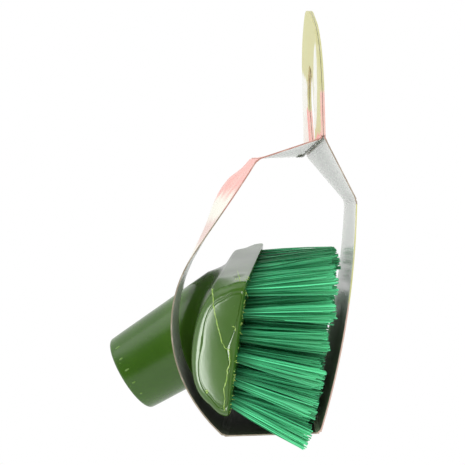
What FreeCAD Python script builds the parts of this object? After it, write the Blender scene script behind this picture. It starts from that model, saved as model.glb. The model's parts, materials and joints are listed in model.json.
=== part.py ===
"""A hand brush head with an angled handle socket, hung on a folded paperboard sleeve.

Row frame: +Z up, +X the way the bristles point, +Y along the brush.
The origin is where a peg bears in the top of the hang slot.
"""
import FreeCAD, Part
import math
import os

import Sketcher
from FreeCAD import Placement, Rotation, Vector

SIZES = [
    # brush block: bristle face on x = 0 of its own frame, y along it, z across it
    ("block_length", 115.0, "end to end"),
    ("face_top", 24.1, "bristle face, middle to upper side"),
    ("face_low", 24.9, "bristle face, middle to lower side"),
    ("crown_depth", 17.1, "thickness at the crown of the back"),
    ("side_inset", 5.6, "back edge of the flat upper side, in from the crown"),
    ("side_drop", 3.1, "draft of the upper side"),
    ("heel_inset", 2.9, "where the crown meets the rounded heel, in from the crown"),
    ("heel_rise", 8.4, "the same place, above the face's lower edge"),
    ("heel_round_inset", 8.5, "middle of the rounded heel, in from the crown"),
    ("heel_round_rise", 2.1, "the same place, above the face's lower edge"),
    ("end_corner", 2.0, "round at the block's two ends"),
    # handle socket: a cone on an axis that leans in the block's x-z plane
    ("socket_lean", 39.8, "axis to the block's normal, degrees"),
    ("mouth_back", 44.2, "mouth centre behind the bristle face"),
    ("mouth_drop", 29.3, "mouth centre below the block's middle"),
    ("bore_radius", 12.05, "for a 24 mm handle"),
    ("socket_wall", 3.95, "round the bore, at the mouth"),
    ("socket_flare", 3.0, "how much the outside radius grows to the buried end"),
    ("socket_run", 55.0, "mouth to buried end"),
    ("socket_cover", 6.0, "plastic left between socket and bristle face"),
    ("bore_depth", 30.0, "mouth to floor"),
    ("neck_station", 34.0, "mouth to the hole in the sleeve"),
    ("rim_round", 1.2, "rounded mouth rim, inside and outside"),
    ("neck_fillet", 4.0, "blend where the socket leaves the block"),
    # bristle tufts and the flat wires that hold them
    ("hole_radius", 2.5, "tuft hole"),
    ("hole_depth", 10.0, "tuft hole"),
    ("tuft_root_radius", 1.8, "bundle at the bottom of its hole"),
    ("tuft_tip_radius", 4.0, "bundle at its tips"),
    ("tuft_reach", 31.0, "bristle face to tips, middle rows"),
    ("tuft_trim", 0.05, "extra reach per millimetre towards the upper side"),
    ("row_margin", 4.5, "outer rows of holes to the edges of the bristle face"),
    ("column_margin", 6.0, "end columns of holes to the ends of the block"),
    ("row_splay", 0.9, "degrees of lean per millimetre from the middle"),
    ("column_splay", 0.09, "degrees of lean per millimetre from the middle"),
    ("row_part", 2.2, "least lean between a bundle and the one below, degrees"),
    ("lean_step", 0.25, "how finely a lean is sought, degrees"),
    ("anchor_height", 1.6, "wire width, along the hole"),
    ("anchor_gauge", 0.4, "wire thickness"),
    ("anchor_length", 4.7, "across the hole"),
    ("anchor_clear", 0.2, "wire to the bottom of its hole, and bundle to wire"),
    # where the brush sits in the sleeve
    ("brush_x", -25.6, "middle of the bristle face"),
    ("brush_z", -101.2, "middle of the bristle face"),
    ("brush_yaw", -4.6, "degrees about z"),
    ("brush_pitch", 6.3, "degrees about x"),
    ("brush_roll", 7.9, "degrees about y"),
    # sleeve of folded board; each fold is a line from its near end to its far end
    ("board", 0.5, "board thickness"),
    ("sleeve_width", 94.0, "along y"),
    ("fold_play", 0.2, "added to half a board where a board stops short of its fold line"),
    ("leaf_gap", 0.4, "between the two header leaves"),
    ("apex_x", 0.5, "top fold"),
    ("apex_z", -33.0, "top fold"),
    ("shoulder_near_x", 19.6, "fold of the back roof into the back panel, from the block's crown"),
    ("shoulder_near_z", -40.7, ""),
    ("shoulder_far_x", 18.7, ""),
    ("shoulder_far_z", -34.0, ""),
    ("brow_near_x", 6.9, "fold of the front roof into the front panel, from the bristle tips"),
    ("brow_near_z", -55.2, ""),
    ("brow_far_x", 12.3, ""),
    ("brow_far_z", -52.6, ""),
    ("heel_near_x", 7.5, "fold of the back panel into the floor panel, from the block's crown"),
    ("heel_far_x", 11.2, ""),
    ("heel_drop", 13.4, "the same fold, below the bristle face's lower edge"),
    ("toe_near_x", -6.0, "fold of the floor panel into the front panel, from the bristle tips"),
    ("toe_far_x", -2.3, ""),
    ("toe_drop", 12.3, "the same fold, below the bristle face's lower edge"),
    ("wrap_radius", 50.0, "back panel round the brush"),
    ("wrap_slope", 31.5, "back panel's flat stretch to the vertical, degrees"),
    ("front_bow", 3.0, "front panel's bulge at its two edges"),
    ("front_crown", 4.5, "front panel's bulge half way along"),
    ("floor_clear", 0.5, "lowest bristle tips above the floor panel"),
    ("edge_clear", 0.3, "bundles that hang outside the sleeve, to its edge"),
    ("neck_clear", 0.4, "socket to the hole in the back panel"),
    ("neck_lift", 5.0, "how far the hole reaches up past the socket"),
    # header leaf, measured up from the top fold and along y
    ("header_lean", 1.6, "degrees, top towards the back"),
    ("near_corner", 32.8, "height of the near upper corner"),
    ("crest_y", 19.0, "crest"),
    ("crest_height", 59.6, "crest"),
    ("far_corner", 45.8, "height of the far upper corner"),
    ("near_round", 24.0, "near corner radius"),
    ("crest_round", 14.0, "crest radius"),
    ("far_round", 12.0, "far corner radius"),
    ("slot_foot", 2.0, "slot's lower edge above the fold"),
    ("slot_foot_near", -15.0, "lower edge's near end"),
    ("slot_foot_far", 4.0, "lower edge's far end"),
    ("slot_far_y", 20.0, "far corner before rounding"),
    ("slot_far_height", 25.0, "far corner before rounding"),
    ("slot_top_y", 1.0, "highest corner before rounding"),
    ("slot_top", 33.6, "highest corner before rounding"),
    ("slot_near_y", -10.0, "near corner before rounding"),
    ("slot_near_height", 28.0, "near corner before rounding"),
    ("slot_round", 8.0, "slot's upper corners"),
    ("slot_foot_round", 2.0, "slot's lower corners"),
]
ROWS = 6
COLUMNS = 11
FULL_TURN = 360
SAME_PLACE = 1e-6
NO_LENGTH = 0.001
SEARCH_SLACK = 0.1
RIM_SHARE = 0.4
MOUTH_RADIUS = "Sizes.bore_radius + Sizes.socket_wall"
ROOT_RADIUS = MOUTH_RADIUS + " + Sizes.socket_flare"

doc = FreeCAD.newDocument("brush_in_sleeve")
sheet = doc.addObject("Spreadsheet::Sheet", "Sizes")
for line, (alias, value, note) in enumerate(SIZES, start=1):
    sheet.set(f"A{line}", alias)
    sheet.set(f"B{line}", str(value))
    sheet.setAlias(f"B{line}", alias)
    sheet.set(f"C{line}", note)
doc.recompute()


def size(alias):
    """The number held in a cell of the sheet."""
    return float(getattr(sheet, alias))


def cell(alias):
    """The same cell, as an expression."""
    return f"Sizes.{alias}"


# --- helpers for bodies and sketches -------------------------------------------------


def new_body(label):
    body = doc.addObject("PartDesign::Body", label)
    body.Label = label
    return body


def origin_plane(body, role):
    return next(item for item in body.Origin.OriginFeatures if item.Role == role)


def new_sketch(body, name, role):
    sketch = body.newObject("Sketcher::SketchObject", name)
    sketch.AttachmentSupport = [(origin_plane(body, role), "")]
    sketch.MapMode = "FlatFace"
    return sketch


def pin_point(sketch, curve, end, across, up):
    """Hold one end of a curve at a place given by two expressions."""
    for kind, rule in (("DistanceX", across), ("DistanceY", up)):
        point = sketch.getPoint(curve, end)
        here = point.x if kind == "DistanceX" else point.y
        index = sketch.addConstraint(Sketcher.Constraint(kind, -1, 1, curve, end, here))
        sketch.setExpression(f"Constraints[{index}]", rule)


def outline(sketch, corners):
    """A closed outline of straight sides; each corner is a pair of expressions."""
    points = [point_at(corner) for corner in corners]
    for start, end in zip(points, points[1:] + points[:1]):
        sketch.addGeometry(Part.LineSegment(start, end), False)
    count = len(points)
    for side in range(count):
        following = (side + 1) % count
        sketch.addConstraint(Sketcher.Constraint("Coincident", side, 2, following, 1))
    for side, (across, up) in enumerate(corners):
        pin_point(sketch, side, 1, across, up)


def value_of(rule):
    """What an expression comes to."""
    return float(sheet.evalExpression(rule))


def point_at(corner):
    """The point that a pair of expressions gives."""
    across, up = corner
    return Vector(value_of(across), value_of(up), 0)


def edges_near(shape, places, reach=0.05):
    """Names of the edges whose middle lies at one of the places."""
    names = []
    for number, edge in enumerate(shape.Edges, start=1):
        middle = edge.valueAt((edge.FirstParameter + edge.LastParameter) / 2)
        if any(middle.distanceToPoint(place) < reach for place in places):
            names.append(f"Edge{number}")
    return names


def round_edges(body, name, names, rule):
    base = body.Tip
    fillet = body.newObject("PartDesign::Fillet", name)
    fillet.Base = (base, names)
    fillet.setExpression("Radius", rule)
    body.Tip = fillet
    doc.recompute()
    return fillet


# --- the brush -----------------------------------------------------------------------


def brush_placement():
    """The brush's own frame, set down in the sleeve."""
    turn = Rotation(Vector(0, 0, 1), size("brush_yaw"))
    turn = turn.multiply(Rotation(Vector(1, 0, 0), size("brush_pitch")))
    turn = turn.multiply(Rotation(Vector(0, 1, 0), size("brush_roll")))
    return Placement(Vector(size("brush_x"), 0, size("brush_z")), turn)


def socket_direction():
    """Along the socket's axis from its mouth into the block, in the brush's frame."""
    lean = math.radians(size("socket_lean"))
    return Vector(math.cos(lean), 0, math.sin(lean))


def socket_mouth():
    return Vector(-size("mouth_back"), 0, -size("mouth_drop"))


FACE_LOW = ("0", "-Sizes.face_low")
FACE_TOP = ("0", "Sizes.face_top")
SIDE_END = ("Sizes.side_inset - Sizes.crown_depth", "Sizes.face_top - Sizes.side_drop")
CROWN = ("-Sizes.crown_depth", "0")
HEEL = ("Sizes.heel_inset - Sizes.crown_depth", "Sizes.heel_rise - Sizes.face_low")
HEEL_ROUND = ("Sizes.heel_round_inset - Sizes.crown_depth", "Sizes.heel_round_rise - Sizes.face_low")


def curve_end(sketch, curve, place):
    """Which end of a curve lies at a place: 1 for its start, 2 for its finish."""
    return 1 if sketch.getPoint(curve, 1).distanceToPoint(place) < SAME_PLACE else 2


def block_profile(sketch):
    """The block's end view: flat face and upper side, crowned back, rounded heel."""
    face, side, crown, heel = range(4)
    sketch.addGeometry(Part.LineSegment(point_at(FACE_LOW), point_at(FACE_TOP)), False)
    sketch.addGeometry(Part.LineSegment(point_at(FACE_TOP), point_at(SIDE_END)), False)
    sketch.addGeometry(Part.Arc(point_at(SIDE_END), point_at(CROWN), point_at(HEEL)), False)
    sketch.addGeometry(Part.Arc(point_at(HEEL), point_at(HEEL_ROUND), point_at(FACE_LOW)), False)
    joins = (
        (face, side, FACE_TOP),
        (side, crown, SIDE_END),
        (crown, heel, HEEL),
        (heel, face, FACE_LOW),
    )
    for first, second, corner in joins:
        place = point_at(corner)
        first_end = curve_end(sketch, first, place)
        second_end = curve_end(sketch, second, place)
        join = Sketcher.Constraint("Coincident", first, first_end, second, second_end)
        sketch.addConstraint(join)
        pin_point(sketch, first, first_end, *corner)
    for arc, corner in ((crown, CROWN), (heel, HEEL_ROUND)):
        sketch.addGeometry(Part.Point(point_at(corner)), True)
        mark = sketch.GeometryCount - 1
        sketch.addConstraint(Sketcher.Constraint("PointOnObject", mark, 1, arc))
        pin_point(sketch, mark, 1, *corner)


def sketch_on_socket_axis(body, name):
    """A sketch whose own x axis is the socket's axis, starting at the mouth."""
    sketch = new_sketch(body, name, "XZ_Plane")
    start = Vector(-size("mouth_back"), -size("mouth_drop"), 0)
    sketch.AttachmentOffset = Placement(start, Rotation(Vector(0, 0, 1), size("socket_lean")))
    sketch.setExpression("AttachmentOffset.Base.x", "-Sizes.mouth_back")
    sketch.setExpression("AttachmentOffset.Base.y", "-Sizes.mouth_drop")
    sketch.setExpression("AttachmentOffset.Rotation.Angle", cell("socket_lean"))
    return sketch


def add_socket(body):
    """The socket cone, turned about its leaning axis and cut off short of the bristle face."""
    sketch = sketch_on_socket_axis(body, "socket_profile")
    outline(
        sketch,
        [
            ("0", "0"),
            ("0", MOUTH_RADIUS),
            ("Sizes.socket_run", ROOT_RADIUS),
            ("Sizes.socket_run", "0"),
        ],
    )
    turned = body.newObject("PartDesign::Revolution", "socket")
    turned.Profile = sketch
    turned.ReferenceAxis = (sketch, ["H_Axis"])
    turned.Angle = FULL_TURN
    doc.recompute()
    trim = new_sketch(body, "socket_trim_outline", "XZ_Plane")
    outline(
        trim,
        [
            ("-Sizes.socket_cover", "-Sizes.socket_run"),
            ("Sizes.socket_run", "-Sizes.socket_run"),
            ("Sizes.socket_run", "Sizes.socket_run"),
            ("-Sizes.socket_cover", "Sizes.socket_run"),
        ],
    )
    cut = body.newObject("PartDesign::Pocket", "socket_trim")
    cut.Profile = trim
    cut.Type = "ThroughAll"
    cut.Midplane = True
    doc.recompute()


def bore_socket(body):
    """The handle's bore, cut once the block is there so that nothing fills it again."""
    sketch = sketch_on_socket_axis(body, "bore_profile")
    outline(
        sketch,
        [
            ("0", "0"),
            ("0", "Sizes.bore_radius"),
            ("Sizes.bore_depth", "Sizes.bore_radius"),
            ("Sizes.bore_depth", "0"),
        ],
    )
    groove = body.newObject("PartDesign::Groove", "bore")
    groove.Profile = sketch
    groove.ReferenceAxis = (sketch, ["H_Axis"])
    groove.Angle = FULL_TURN
    doc.recompute()


def add_block(body):
    sketch = new_sketch(body, "block_profile", "XZ_Plane")
    block_profile(sketch)
    pad = body.newObject("PartDesign::Pad", "block")
    pad.Profile = sketch
    pad.Midplane = True
    pad.setExpression("Length", cell("block_length"))
    doc.recompute()


def row_height(row):
    """Middle of a tuft row, across the block."""
    top = size("face_top") - size("row_margin")
    bottom = size("row_margin") - size("face_low")
    return bottom + (top - bottom) * row / (ROWS - 1)


def column_place(column):
    """Middle of a tuft column, along the block."""
    end = size("block_length") / 2 - size("column_margin")
    return end * (2 * column / (COLUMNS - 1) - 1)


def lean_turn(row_lean, column_lean):
    """Turns the x axis up by one lean and along the block by the other."""
    return Rotation(Vector(0, 0, 1), column_lean).multiply(Rotation(Vector(0, 1, 0), -row_lean))


def tuft_reach(row):
    return size("tuft_reach") + size("tuft_trim") * row_height(row)


def tip_clears_floor(row, column, lean):
    """Is this tuft's lowest tip above the floor panel, or beyond the sleeve's edge?"""
    turn = lean_turn(lean, column_place(column) * size("column_splay"))
    root = Vector(0, column_place(column), row_height(row))
    tip = brush_placement().multVec(root.add(turn.multVec(Vector(tuft_reach(row), 0, 0))))
    beyond = size("sleeve_width") / 2 + size("tuft_tip_radius") + size("edge_clear")
    floor = max(fold_level("heel"), fold_level("toe")) + size("board") / 2 + size("floor_clear")
    return abs(tip.y) >= beyond or tip.z - size("tuft_tip_radius") >= floor


def row_lean(row, column):
    """How far a tuft leans up: it fans with its row and clears both the floor and the tuft below."""
    lean = row_height(row) * size("row_splay")
    if row > 0:
        lean = max(lean, row_lean(row - 1, column) + size("row_part"))
    while not tip_clears_floor(row, column, lean):
        lean += size("lean_step")
    return lean


def tuft_turn(row, column):
    return lean_turn(row_lean(row, column), column_place(column) * size("column_splay"))


def tuft_place(row, column, depth):
    """Placement on a tuft's axis, a depth behind the bristle face, with z along the tuft."""
    turn = tuft_turn(row, column)
    root = Vector(0, column_place(column), row_height(row))
    start = root.add(turn.multVec(Vector(-depth, 0, 0)))
    return Placement(start, turn.multiply(Rotation(Vector(0, 1, 0), 90)))


def drilled(blank):
    """The blank with one hole for each tuft."""
    drills = []
    for row in range(ROWS):
        for column in range(COLUMNS):
            drill = doc.addObject("Part::Cylinder", f"hole_{row + 1}_{column + 1}")
            drill.setExpression("Radius", cell("hole_radius"))
            drill.setExpression("Height", "Sizes.hole_depth + Sizes.tuft_reach")
            drill.Placement = tuft_place(row, column, size("hole_depth"))
            drills.append(drill)
    gang = doc.addObject("Part::MultiFuse", "tuft_holes")
    gang.Shapes = drills
    result = doc.addObject("Part::Cut", "brush_head")
    result.Base = blank
    result.Tool = gang
    return result


def outer_edges(shape, wanted):
    """Names of the edges whose bounding box passes a test."""
    return [f"Edge{number}" for number, edge in enumerate(shape.Edges, start=1) if wanted(edge.BoundBox)]


def is_end_edge(box):
    """Round the end walls, but not where they meet the bristle face."""
    at_end = abs(abs(box.YMin) - size("block_length") / 2) < NO_LENGTH
    return box.YLength < NO_LENGTH and at_end and box.XMin < -SEARCH_SLACK


def is_neck_edge(box):
    """Where the socket runs out into the back of the block, below the flat upper side."""
    on_back = -size("crown_depth") - SEARCH_SLACK < box.XMin and box.XMax < -size("socket_cover")
    near_middle = box.YMin > -value_of(ROOT_RADIUS) and box.YMax < value_of(ROOT_RADIUS)
    below_side = box.ZMax < size("face_top") - size("side_drop") - SEARCH_SLACK
    return on_back and near_middle and below_side and box.ZLength > size("end_corner")


def is_rim_edge(box):
    """The two circles round the mouth."""
    at_mouth = box.Center.sub(socket_mouth()).Length < SEARCH_SLACK
    return at_mouth and box.YLength > 2 * size("bore_radius") - SEARCH_SLACK


def make_brush_head():
    """Block and socket in one moulding."""
    body = new_body("moulding")
    add_socket(body)
    add_block(body)
    round_edges(body, "end_rounds", outer_edges(body.Tip.Shape, is_end_edge), cell("end_corner"))
    round_edges(body, "neck_blend", outer_edges(body.Tip.Shape, is_neck_edge), cell("neck_fillet"))
    bore_socket(body)
    rim_rule = f"min(Sizes.rim_round; Sizes.socket_wall * {RIM_SHARE})"
    round_edges(body, "rim_rounds", outer_edges(body.Tip.Shape, is_rim_edge), rim_rule)
    head = drilled(body)
    head.Label = "brush_head"
    head.Placement = brush_placement()
    return head


def make_tuft_row(row):
    """One row of bristle bundles, each a cone from the bottom of its hole to its tips."""
    bundles = []
    for column in range(COLUMNS):
        bundle = doc.addObject("Part::Cone", f"bundle_{row + 1}_{column + 1}")
        bundle.setExpression("Radius1", cell("tuft_root_radius"))
        bundle.setExpression("Radius2", cell("tuft_tip_radius"))
        sunk = size("hole_depth") - size("anchor_height") - 2 * size("anchor_clear")
        bundle.Height = sunk + tuft_reach(row)
        bundle.Placement = tuft_place(row, column, sunk)
        bundles.append(bundle)
    group = doc.addObject("Part::Compound", f"tuft_row_{row + 1}")
    group.Links = bundles
    group.Placement = brush_placement()
    return group


def make_anchor_row(row):
    """The flat wires that pin one row's bundles at the bottom of their holes."""
    wires = []
    for column in range(COLUMNS):
        wire = doc.addObject("Part::Box", f"wire_{row + 1}_{column + 1}")
        wire.setExpression("Length", cell("anchor_gauge"))
        wire.setExpression("Width", cell("anchor_length"))
        wire.setExpression("Height", cell("anchor_height"))
        seat = tuft_place(row, column, size("hole_depth") - size("anchor_clear"))
        middle = Vector(-size("anchor_gauge") / 2, -size("anchor_length") / 2, 0)
        wire.Placement = seat.multiply(Placement(middle, Rotation()))
        wires.append(wire)
    group = doc.addObject("Part::Compound", f"anchor_row_{row + 1}")
    group.Links = wires
    group.Placement = brush_placement()
    return group


# --- the sleeve ----------------------------------------------------------------------


def between(near, far, share):
    return near + (far - near) * share


def fold_gap():
    """How far a board stops short of its fold line."""
    return size("board") / 2 + size("fold_play")


def leaf_offset():
    """Middle of the header to the middle of either leaf."""
    return (size("board") + size("leaf_gap")) / 2


def fold_level(fold):
    """Height of either of the two level folds under the brush."""
    return size("brush_z") - size("face_low") - size(f"{fold}_drop")


def fold_datum(fold):
    """Back folds are placed from the block's crown, front folds from the bristle tips."""
    if fold in ("shoulder", "heel"):
        return size("brush_x") - size("crown_depth")
    return size("brush_x") + size("tuft_reach")


def fold_point(fold, share):
    """A place on a fold line: share 0 at its near end, 1 at its far end."""
    if fold in ("apex_back", "apex_front"):
        side = -1 if fold == "apex_back" else 1
        return Vector(size("apex_x") + side * leaf_offset(), 0, size("apex_z"))
    across = fold_datum(fold) + between(size(f"{fold}_near_x"), size(f"{fold}_far_x"), share)
    if fold in ("heel", "toe"):
        return Vector(across, 0, fold_level(fold))
    return Vector(across, 0, between(size(f"{fold}_near_z"), size(f"{fold}_far_z"), share))


def left_of(direction):
    """The direction a quarter turn anticlockwise, seen from the near side."""
    return Vector(-direction.z, 0, direction.x)


def flat_band(start, end):
    """Section of a flat board between two folds, its ends held back from both."""
    along = end.sub(start).normalize()
    across = left_of(along) * (size("board") / 2)
    first = start.add(along * fold_gap())
    last = end.sub(along * fold_gap())
    corners = [first.add(across), last.add(across), last.sub(across), first.sub(across)]
    return Part.makePolygon(corners + corners[:1])


def arc_edge(centre, radius, start_angle, end_angle):
    middle = (start_angle + end_angle) / 2
    points = []
    for angle in (start_angle, middle, end_angle):
        points.append(centre.add(Vector(math.cos(angle), 0, math.sin(angle)) * radius))
    return Part.Arc(*points).toShape()


def edge_start(edge):
    return edge.valueAt(edge.FirstParameter)


def edge_end(edge):
    return edge.valueAt(edge.LastParameter)


def bowed_band(start, end, bow):
    """Section of a board that bulges, by bow at its middle, to the right of start to end."""
    chord = end.sub(start)
    along = Vector(chord).normalize()
    radius = (chord.Length**2 / 4 + bow**2) / (2 * bow)
    centre = start.add(chord * 0.5).add(left_of(along) * (radius - bow))
    held_back = fold_gap() / radius
    first = math.atan2(start.z - centre.z, start.x - centre.x) + held_back
    last = math.atan2(end.z - centre.z, end.x - centre.x) - held_back
    inner = arc_edge(centre, radius - size("board") / 2, first, last)
    outer = arc_edge(centre, radius + size("board") / 2, last, first)
    return closed_band([inner], [outer])


def closed_band(there, back):
    """One wire from the edges of a board's two faces, joined by its cut ends."""
    cap_end = Part.makeLine(edge_end(there[-1]), edge_start(back[0]))
    cap_start = Part.makeLine(edge_end(back[-1]), edge_start(there[0]))
    return Part.Wire(there + [cap_end] + back + [cap_start])


def wrap_band(start, end):
    """Section of the back panel: straight down from the shoulder, then round to the heel."""
    slope = math.radians(size("wrap_slope"))
    down = Vector(-math.sin(slope), 0, -math.cos(slope))
    inward = left_of(down)
    radius = size("wrap_radius")
    offset = start.add(inward * radius)
    to_end = end.sub(offset)
    run = to_end.dot(down) - math.sqrt(to_end.dot(down) ** 2 - to_end.Length**2 + radius**2)
    centre = offset.add(down * run)
    turn_in = start.add(down * run)
    begin = math.atan2(turn_in.z - centre.z, turn_in.x - centre.x)
    finish = math.atan2(end.z - centre.z, end.x - centre.x)
    if begin < 0:
        begin += 2 * math.pi
    if finish < 0:
        finish += 2 * math.pi
    finish -= fold_gap() / radius
    first = start.add(down * fold_gap())
    half = size("board") / 2
    faces = []
    for side in (1, -1):
        shift = inward * (side * half)
        line = Part.makeLine(first.add(shift), turn_in.add(shift))
        reverse = Part.makeLine(turn_in.add(shift), first.add(shift))
        reach = radius - side * half
        faces.append((line, reverse, reach))
    there = [faces[0][0], arc_edge(centre, faces[0][2], begin, finish)]
    back = [arc_edge(centre, faces[1][2], finish, begin), faces[1][1]]
    return closed_band(there, back)


def loft_panel(label, section):
    """A board through its sections at the near edge, half way and the far edge."""
    half = size("sleeve_width") / 2
    wires = []
    for share in (0.0, 0.5, 1.0):
        wire = section(share)
        wire.translate(Vector(0, between(-half, half, share), 0))
        wires.append(wire)
    panel = doc.addObject("Part::Feature", label)
    panel.Shape = Part.makeLoft(wires, True, False)
    return panel


def make_flat_panel(label, first_fold, second_fold):
    def section(share):
        return flat_band(fold_point(first_fold, share), fold_point(second_fold, share))

    return loft_panel(label, section)


def make_front():
    def section(share):
        bow = size("front_crown") if share == 0.5 else size("front_bow")
        return bowed_band(fold_point("toe", share), fold_point("brow", share), bow)

    return loft_panel("front_panel", section)


def socket_radius_at(distance):
    """Outside radius of the socket, a distance from its mouth."""
    return between(value_of(MOUTH_RADIUS), value_of(ROOT_RADIUS), distance / size("socket_run"))


def make_back():
    """The back panel, with a hole that the socket comes out through."""

    def section(share):
        return wrap_band(fold_point("shoulder", share), fold_point("heel", share))

    blank = loft_panel("back_blank", section)
    placed = brush_placement()
    axis = placed.Rotation.multVec(socket_direction())
    mouth = placed.multVec(socket_mouth())
    punches = []
    for lift in (0.0, 1.0):
        punch = doc.addObject("Part::Cylinder", "neck_punch_high" if lift else "neck_punch")
        punch.Radius = socket_radius_at(size("neck_station")) + size("neck_clear")
        punch.setExpression("Height", cell("socket_run"))
        up = Vector(0, 0, lift * size("neck_lift"))
        punch.Placement = Placement(mouth.add(up), Rotation(Vector(0, 0, 1), axis))
        punches.append(punch)
    punch = doc.addObject("Part::MultiFuse", "neck_punches")
    punch.Shapes = punches
    panel = doc.addObject("Part::Cut", "back_panel")
    panel.Base = blank
    panel.Tool = punch
    return panel


def make_leaf(label):
    """One leaf of the hang header, with its hand slot."""
    body = new_body(label)
    sketch = new_sketch(body, "leaf_outline", "YZ_Plane")
    near = "-0.5 * Sizes.sleeve_width"
    far = "0.5 * Sizes.sleeve_width"
    outline(
        sketch,
        [
            (near, "Sizes.board / 2 + Sizes.fold_play"),
            (far, "Sizes.board / 2 + Sizes.fold_play"),
            (far, "Sizes.far_corner"),
            ("Sizes.crest_y", "Sizes.crest_height"),
            (near, "Sizes.near_corner"),
        ],
    )
    pad = body.newObject("PartDesign::Pad", "leaf")
    pad.Profile = sketch
    pad.Midplane = True
    pad.setExpression("Length", cell("board"))
    doc.recompute()
    half = size("sleeve_width") / 2
    corners = (
        ("near_corner_round", Vector(0, -half, size("near_corner")), "near_round"),
        ("crest_round", Vector(0, size("crest_y"), size("crest_height")), "crest_round"),
        ("far_corner_round", Vector(0, half, size("far_corner")), "far_round"),
    )
    for name, place, radius in corners:
        round_edges(body, name, edges_near(body.Tip.Shape, [place]), cell(radius))
    return body


SLOT_FOOT = [
    ("Sizes.slot_foot_near", "Sizes.slot_foot"),
    ("Sizes.slot_foot_far", "Sizes.slot_foot"),
]
SLOT_TOP = [
    ("Sizes.slot_far_y", "Sizes.slot_far_height"),
    ("Sizes.slot_top_y", "Sizes.slot_top"),
    ("Sizes.slot_near_y", "Sizes.slot_near_height"),
]


def cut_slot(body):
    """The slot is wide at the top and narrows down to the fold."""
    sketch = new_sketch(body, "slot_outline", "YZ_Plane")
    outline(sketch, SLOT_FOOT + SLOT_TOP)
    pocket = body.newObject("PartDesign::Pocket", "slot")
    pocket.Profile = sketch
    pocket.Type = "ThroughAll"
    pocket.Midplane = True
    doc.recompute()
    for corners, radius in ((SLOT_FOOT, "slot_foot_round"), (SLOT_TOP, "slot_round")):
        places = [Vector(0, value_of(along), value_of(up)) for along, up in corners]
        round_edges(body, f"{radius}_edges", edges_near(body.Tip.Shape, places), cell(radius))


def place_leaf(body, side):
    """Stand a leaf on its side of the top fold, leaning back."""
    foot = Vector(size("apex_x") + side * leaf_offset(), 0, size("apex_z"))
    body.Placement = Placement(foot, Rotation(Vector(0, 1, 0), -size("header_lean")))


parts = [make_brush_head()]
parts += [make_tuft_row(row) for row in range(ROWS)]
parts += [make_anchor_row(row) for row in range(ROWS)]
parts += [
    make_flat_panel("back_roof_panel", "apex_back", "shoulder"),
    make_flat_panel("front_roof_panel", "apex_front", "brow"),
    make_flat_panel("floor_panel", "heel", "toe"),
    make_front(),
    make_back(),
]
for leaf_label, leaf_side in (("header_back_leaf", -1), ("header_front_leaf", 1)):
    leaf = make_leaf(leaf_label)
    cut_slot(leaf)
    place_leaf(leaf, leaf_side)
    parts.append(leaf)
doc.recompute()

for item in doc.Objects:
    if "Invalid" in item.State or "Error" in item.State:
        raise RuntimeError(f"{item.Label} is {item.State}")
os.makedirs("parts", exist_ok=True)
for item in parts:
    if item.Shape.isNull() or not item.Shape.isValid():
        raise RuntimeError(f"{item.Label} has no valid shape")
    print(item.Label, len(item.Shape.Solids), round(item.Shape.Volume / 1000, 2), "cm3")
for item in parts:
    item.Shape.exportStep(f"parts/{item.Label}.step")
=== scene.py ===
# %% [markdown]
# # A brush head in its paperboard hang sleeve
# A green moulded brush head, with a socket for a handle and six rows of bristle tufts, sits in a
# folded paperboard sleeve that ends at the top in a two-leaf header with a hand slot. Every new
# piece here is a surface worked out with numpy around the imported model, so its place in the
# drawing is its place in the sleeve. Each piece but the creases rides on the body it belongs to.

# %% Load the imported model
import json
import math

import bpy
import numpy as np
from mathutils import Matrix, Vector


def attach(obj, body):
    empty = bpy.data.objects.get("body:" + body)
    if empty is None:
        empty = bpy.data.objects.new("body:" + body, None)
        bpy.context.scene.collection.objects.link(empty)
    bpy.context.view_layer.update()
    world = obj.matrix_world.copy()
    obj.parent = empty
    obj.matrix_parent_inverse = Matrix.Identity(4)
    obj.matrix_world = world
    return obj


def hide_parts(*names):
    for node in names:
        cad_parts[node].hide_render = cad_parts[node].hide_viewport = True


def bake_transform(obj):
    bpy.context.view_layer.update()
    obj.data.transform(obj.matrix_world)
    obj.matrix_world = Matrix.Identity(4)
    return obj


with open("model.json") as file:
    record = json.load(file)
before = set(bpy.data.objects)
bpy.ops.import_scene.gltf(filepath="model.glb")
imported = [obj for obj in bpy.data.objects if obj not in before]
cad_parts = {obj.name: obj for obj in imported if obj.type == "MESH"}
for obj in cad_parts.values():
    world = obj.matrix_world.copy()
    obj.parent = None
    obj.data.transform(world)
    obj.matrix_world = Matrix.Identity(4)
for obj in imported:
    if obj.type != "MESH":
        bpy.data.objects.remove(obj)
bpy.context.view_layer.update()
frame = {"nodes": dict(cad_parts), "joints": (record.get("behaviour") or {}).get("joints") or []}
MM = 0.001
random = np.random.default_rng(7)

# %% [markdown]
# ## The camera
# The camera stands level in front of the near end of the block and a little to the left, so the
# sleeve is seen edge on. A level camera with no shift keeps upright edges upright.

# %% Place the camera
CAMERA_SPOT = (-32.0, -438.0, -66.8)
camera_data = bpy.data.cameras.new("camera")
camera_data.lens = 84.77
camera_data.sensor_width = 36.0
camera_data.clip_start = 0.01
camera = bpy.data.objects.new("camera", camera_data)
camera.location = Vector(CAMERA_SPOT) * MM
camera.rotation_euler = (math.radians(90), 0, 0)
bpy.context.scene.collection.objects.link(camera)
bpy.context.scene.camera = camera
bpy.context.scene.view_settings.view_transform = "Standard"
print("camera at", CAMERA_SPOT, "mm with a lens of", round(camera_data.lens, 2))

# %% [markdown]
# ## The room
# Glossy plastic shows whatever surrounds it. Walls could be built, but a world that answers each
# kind of ray by itself is simpler. A reflection finds it white all round and grey on the side the
# camera stands, because a dark front keeps green plastic green. Other light finds it evenly near
# white, and the eye sees plain white.


# %% Build the world
def link(tree, start, end):
    """A wire from one node's output to another's input."""
    tree.links.new(start, end)


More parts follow.
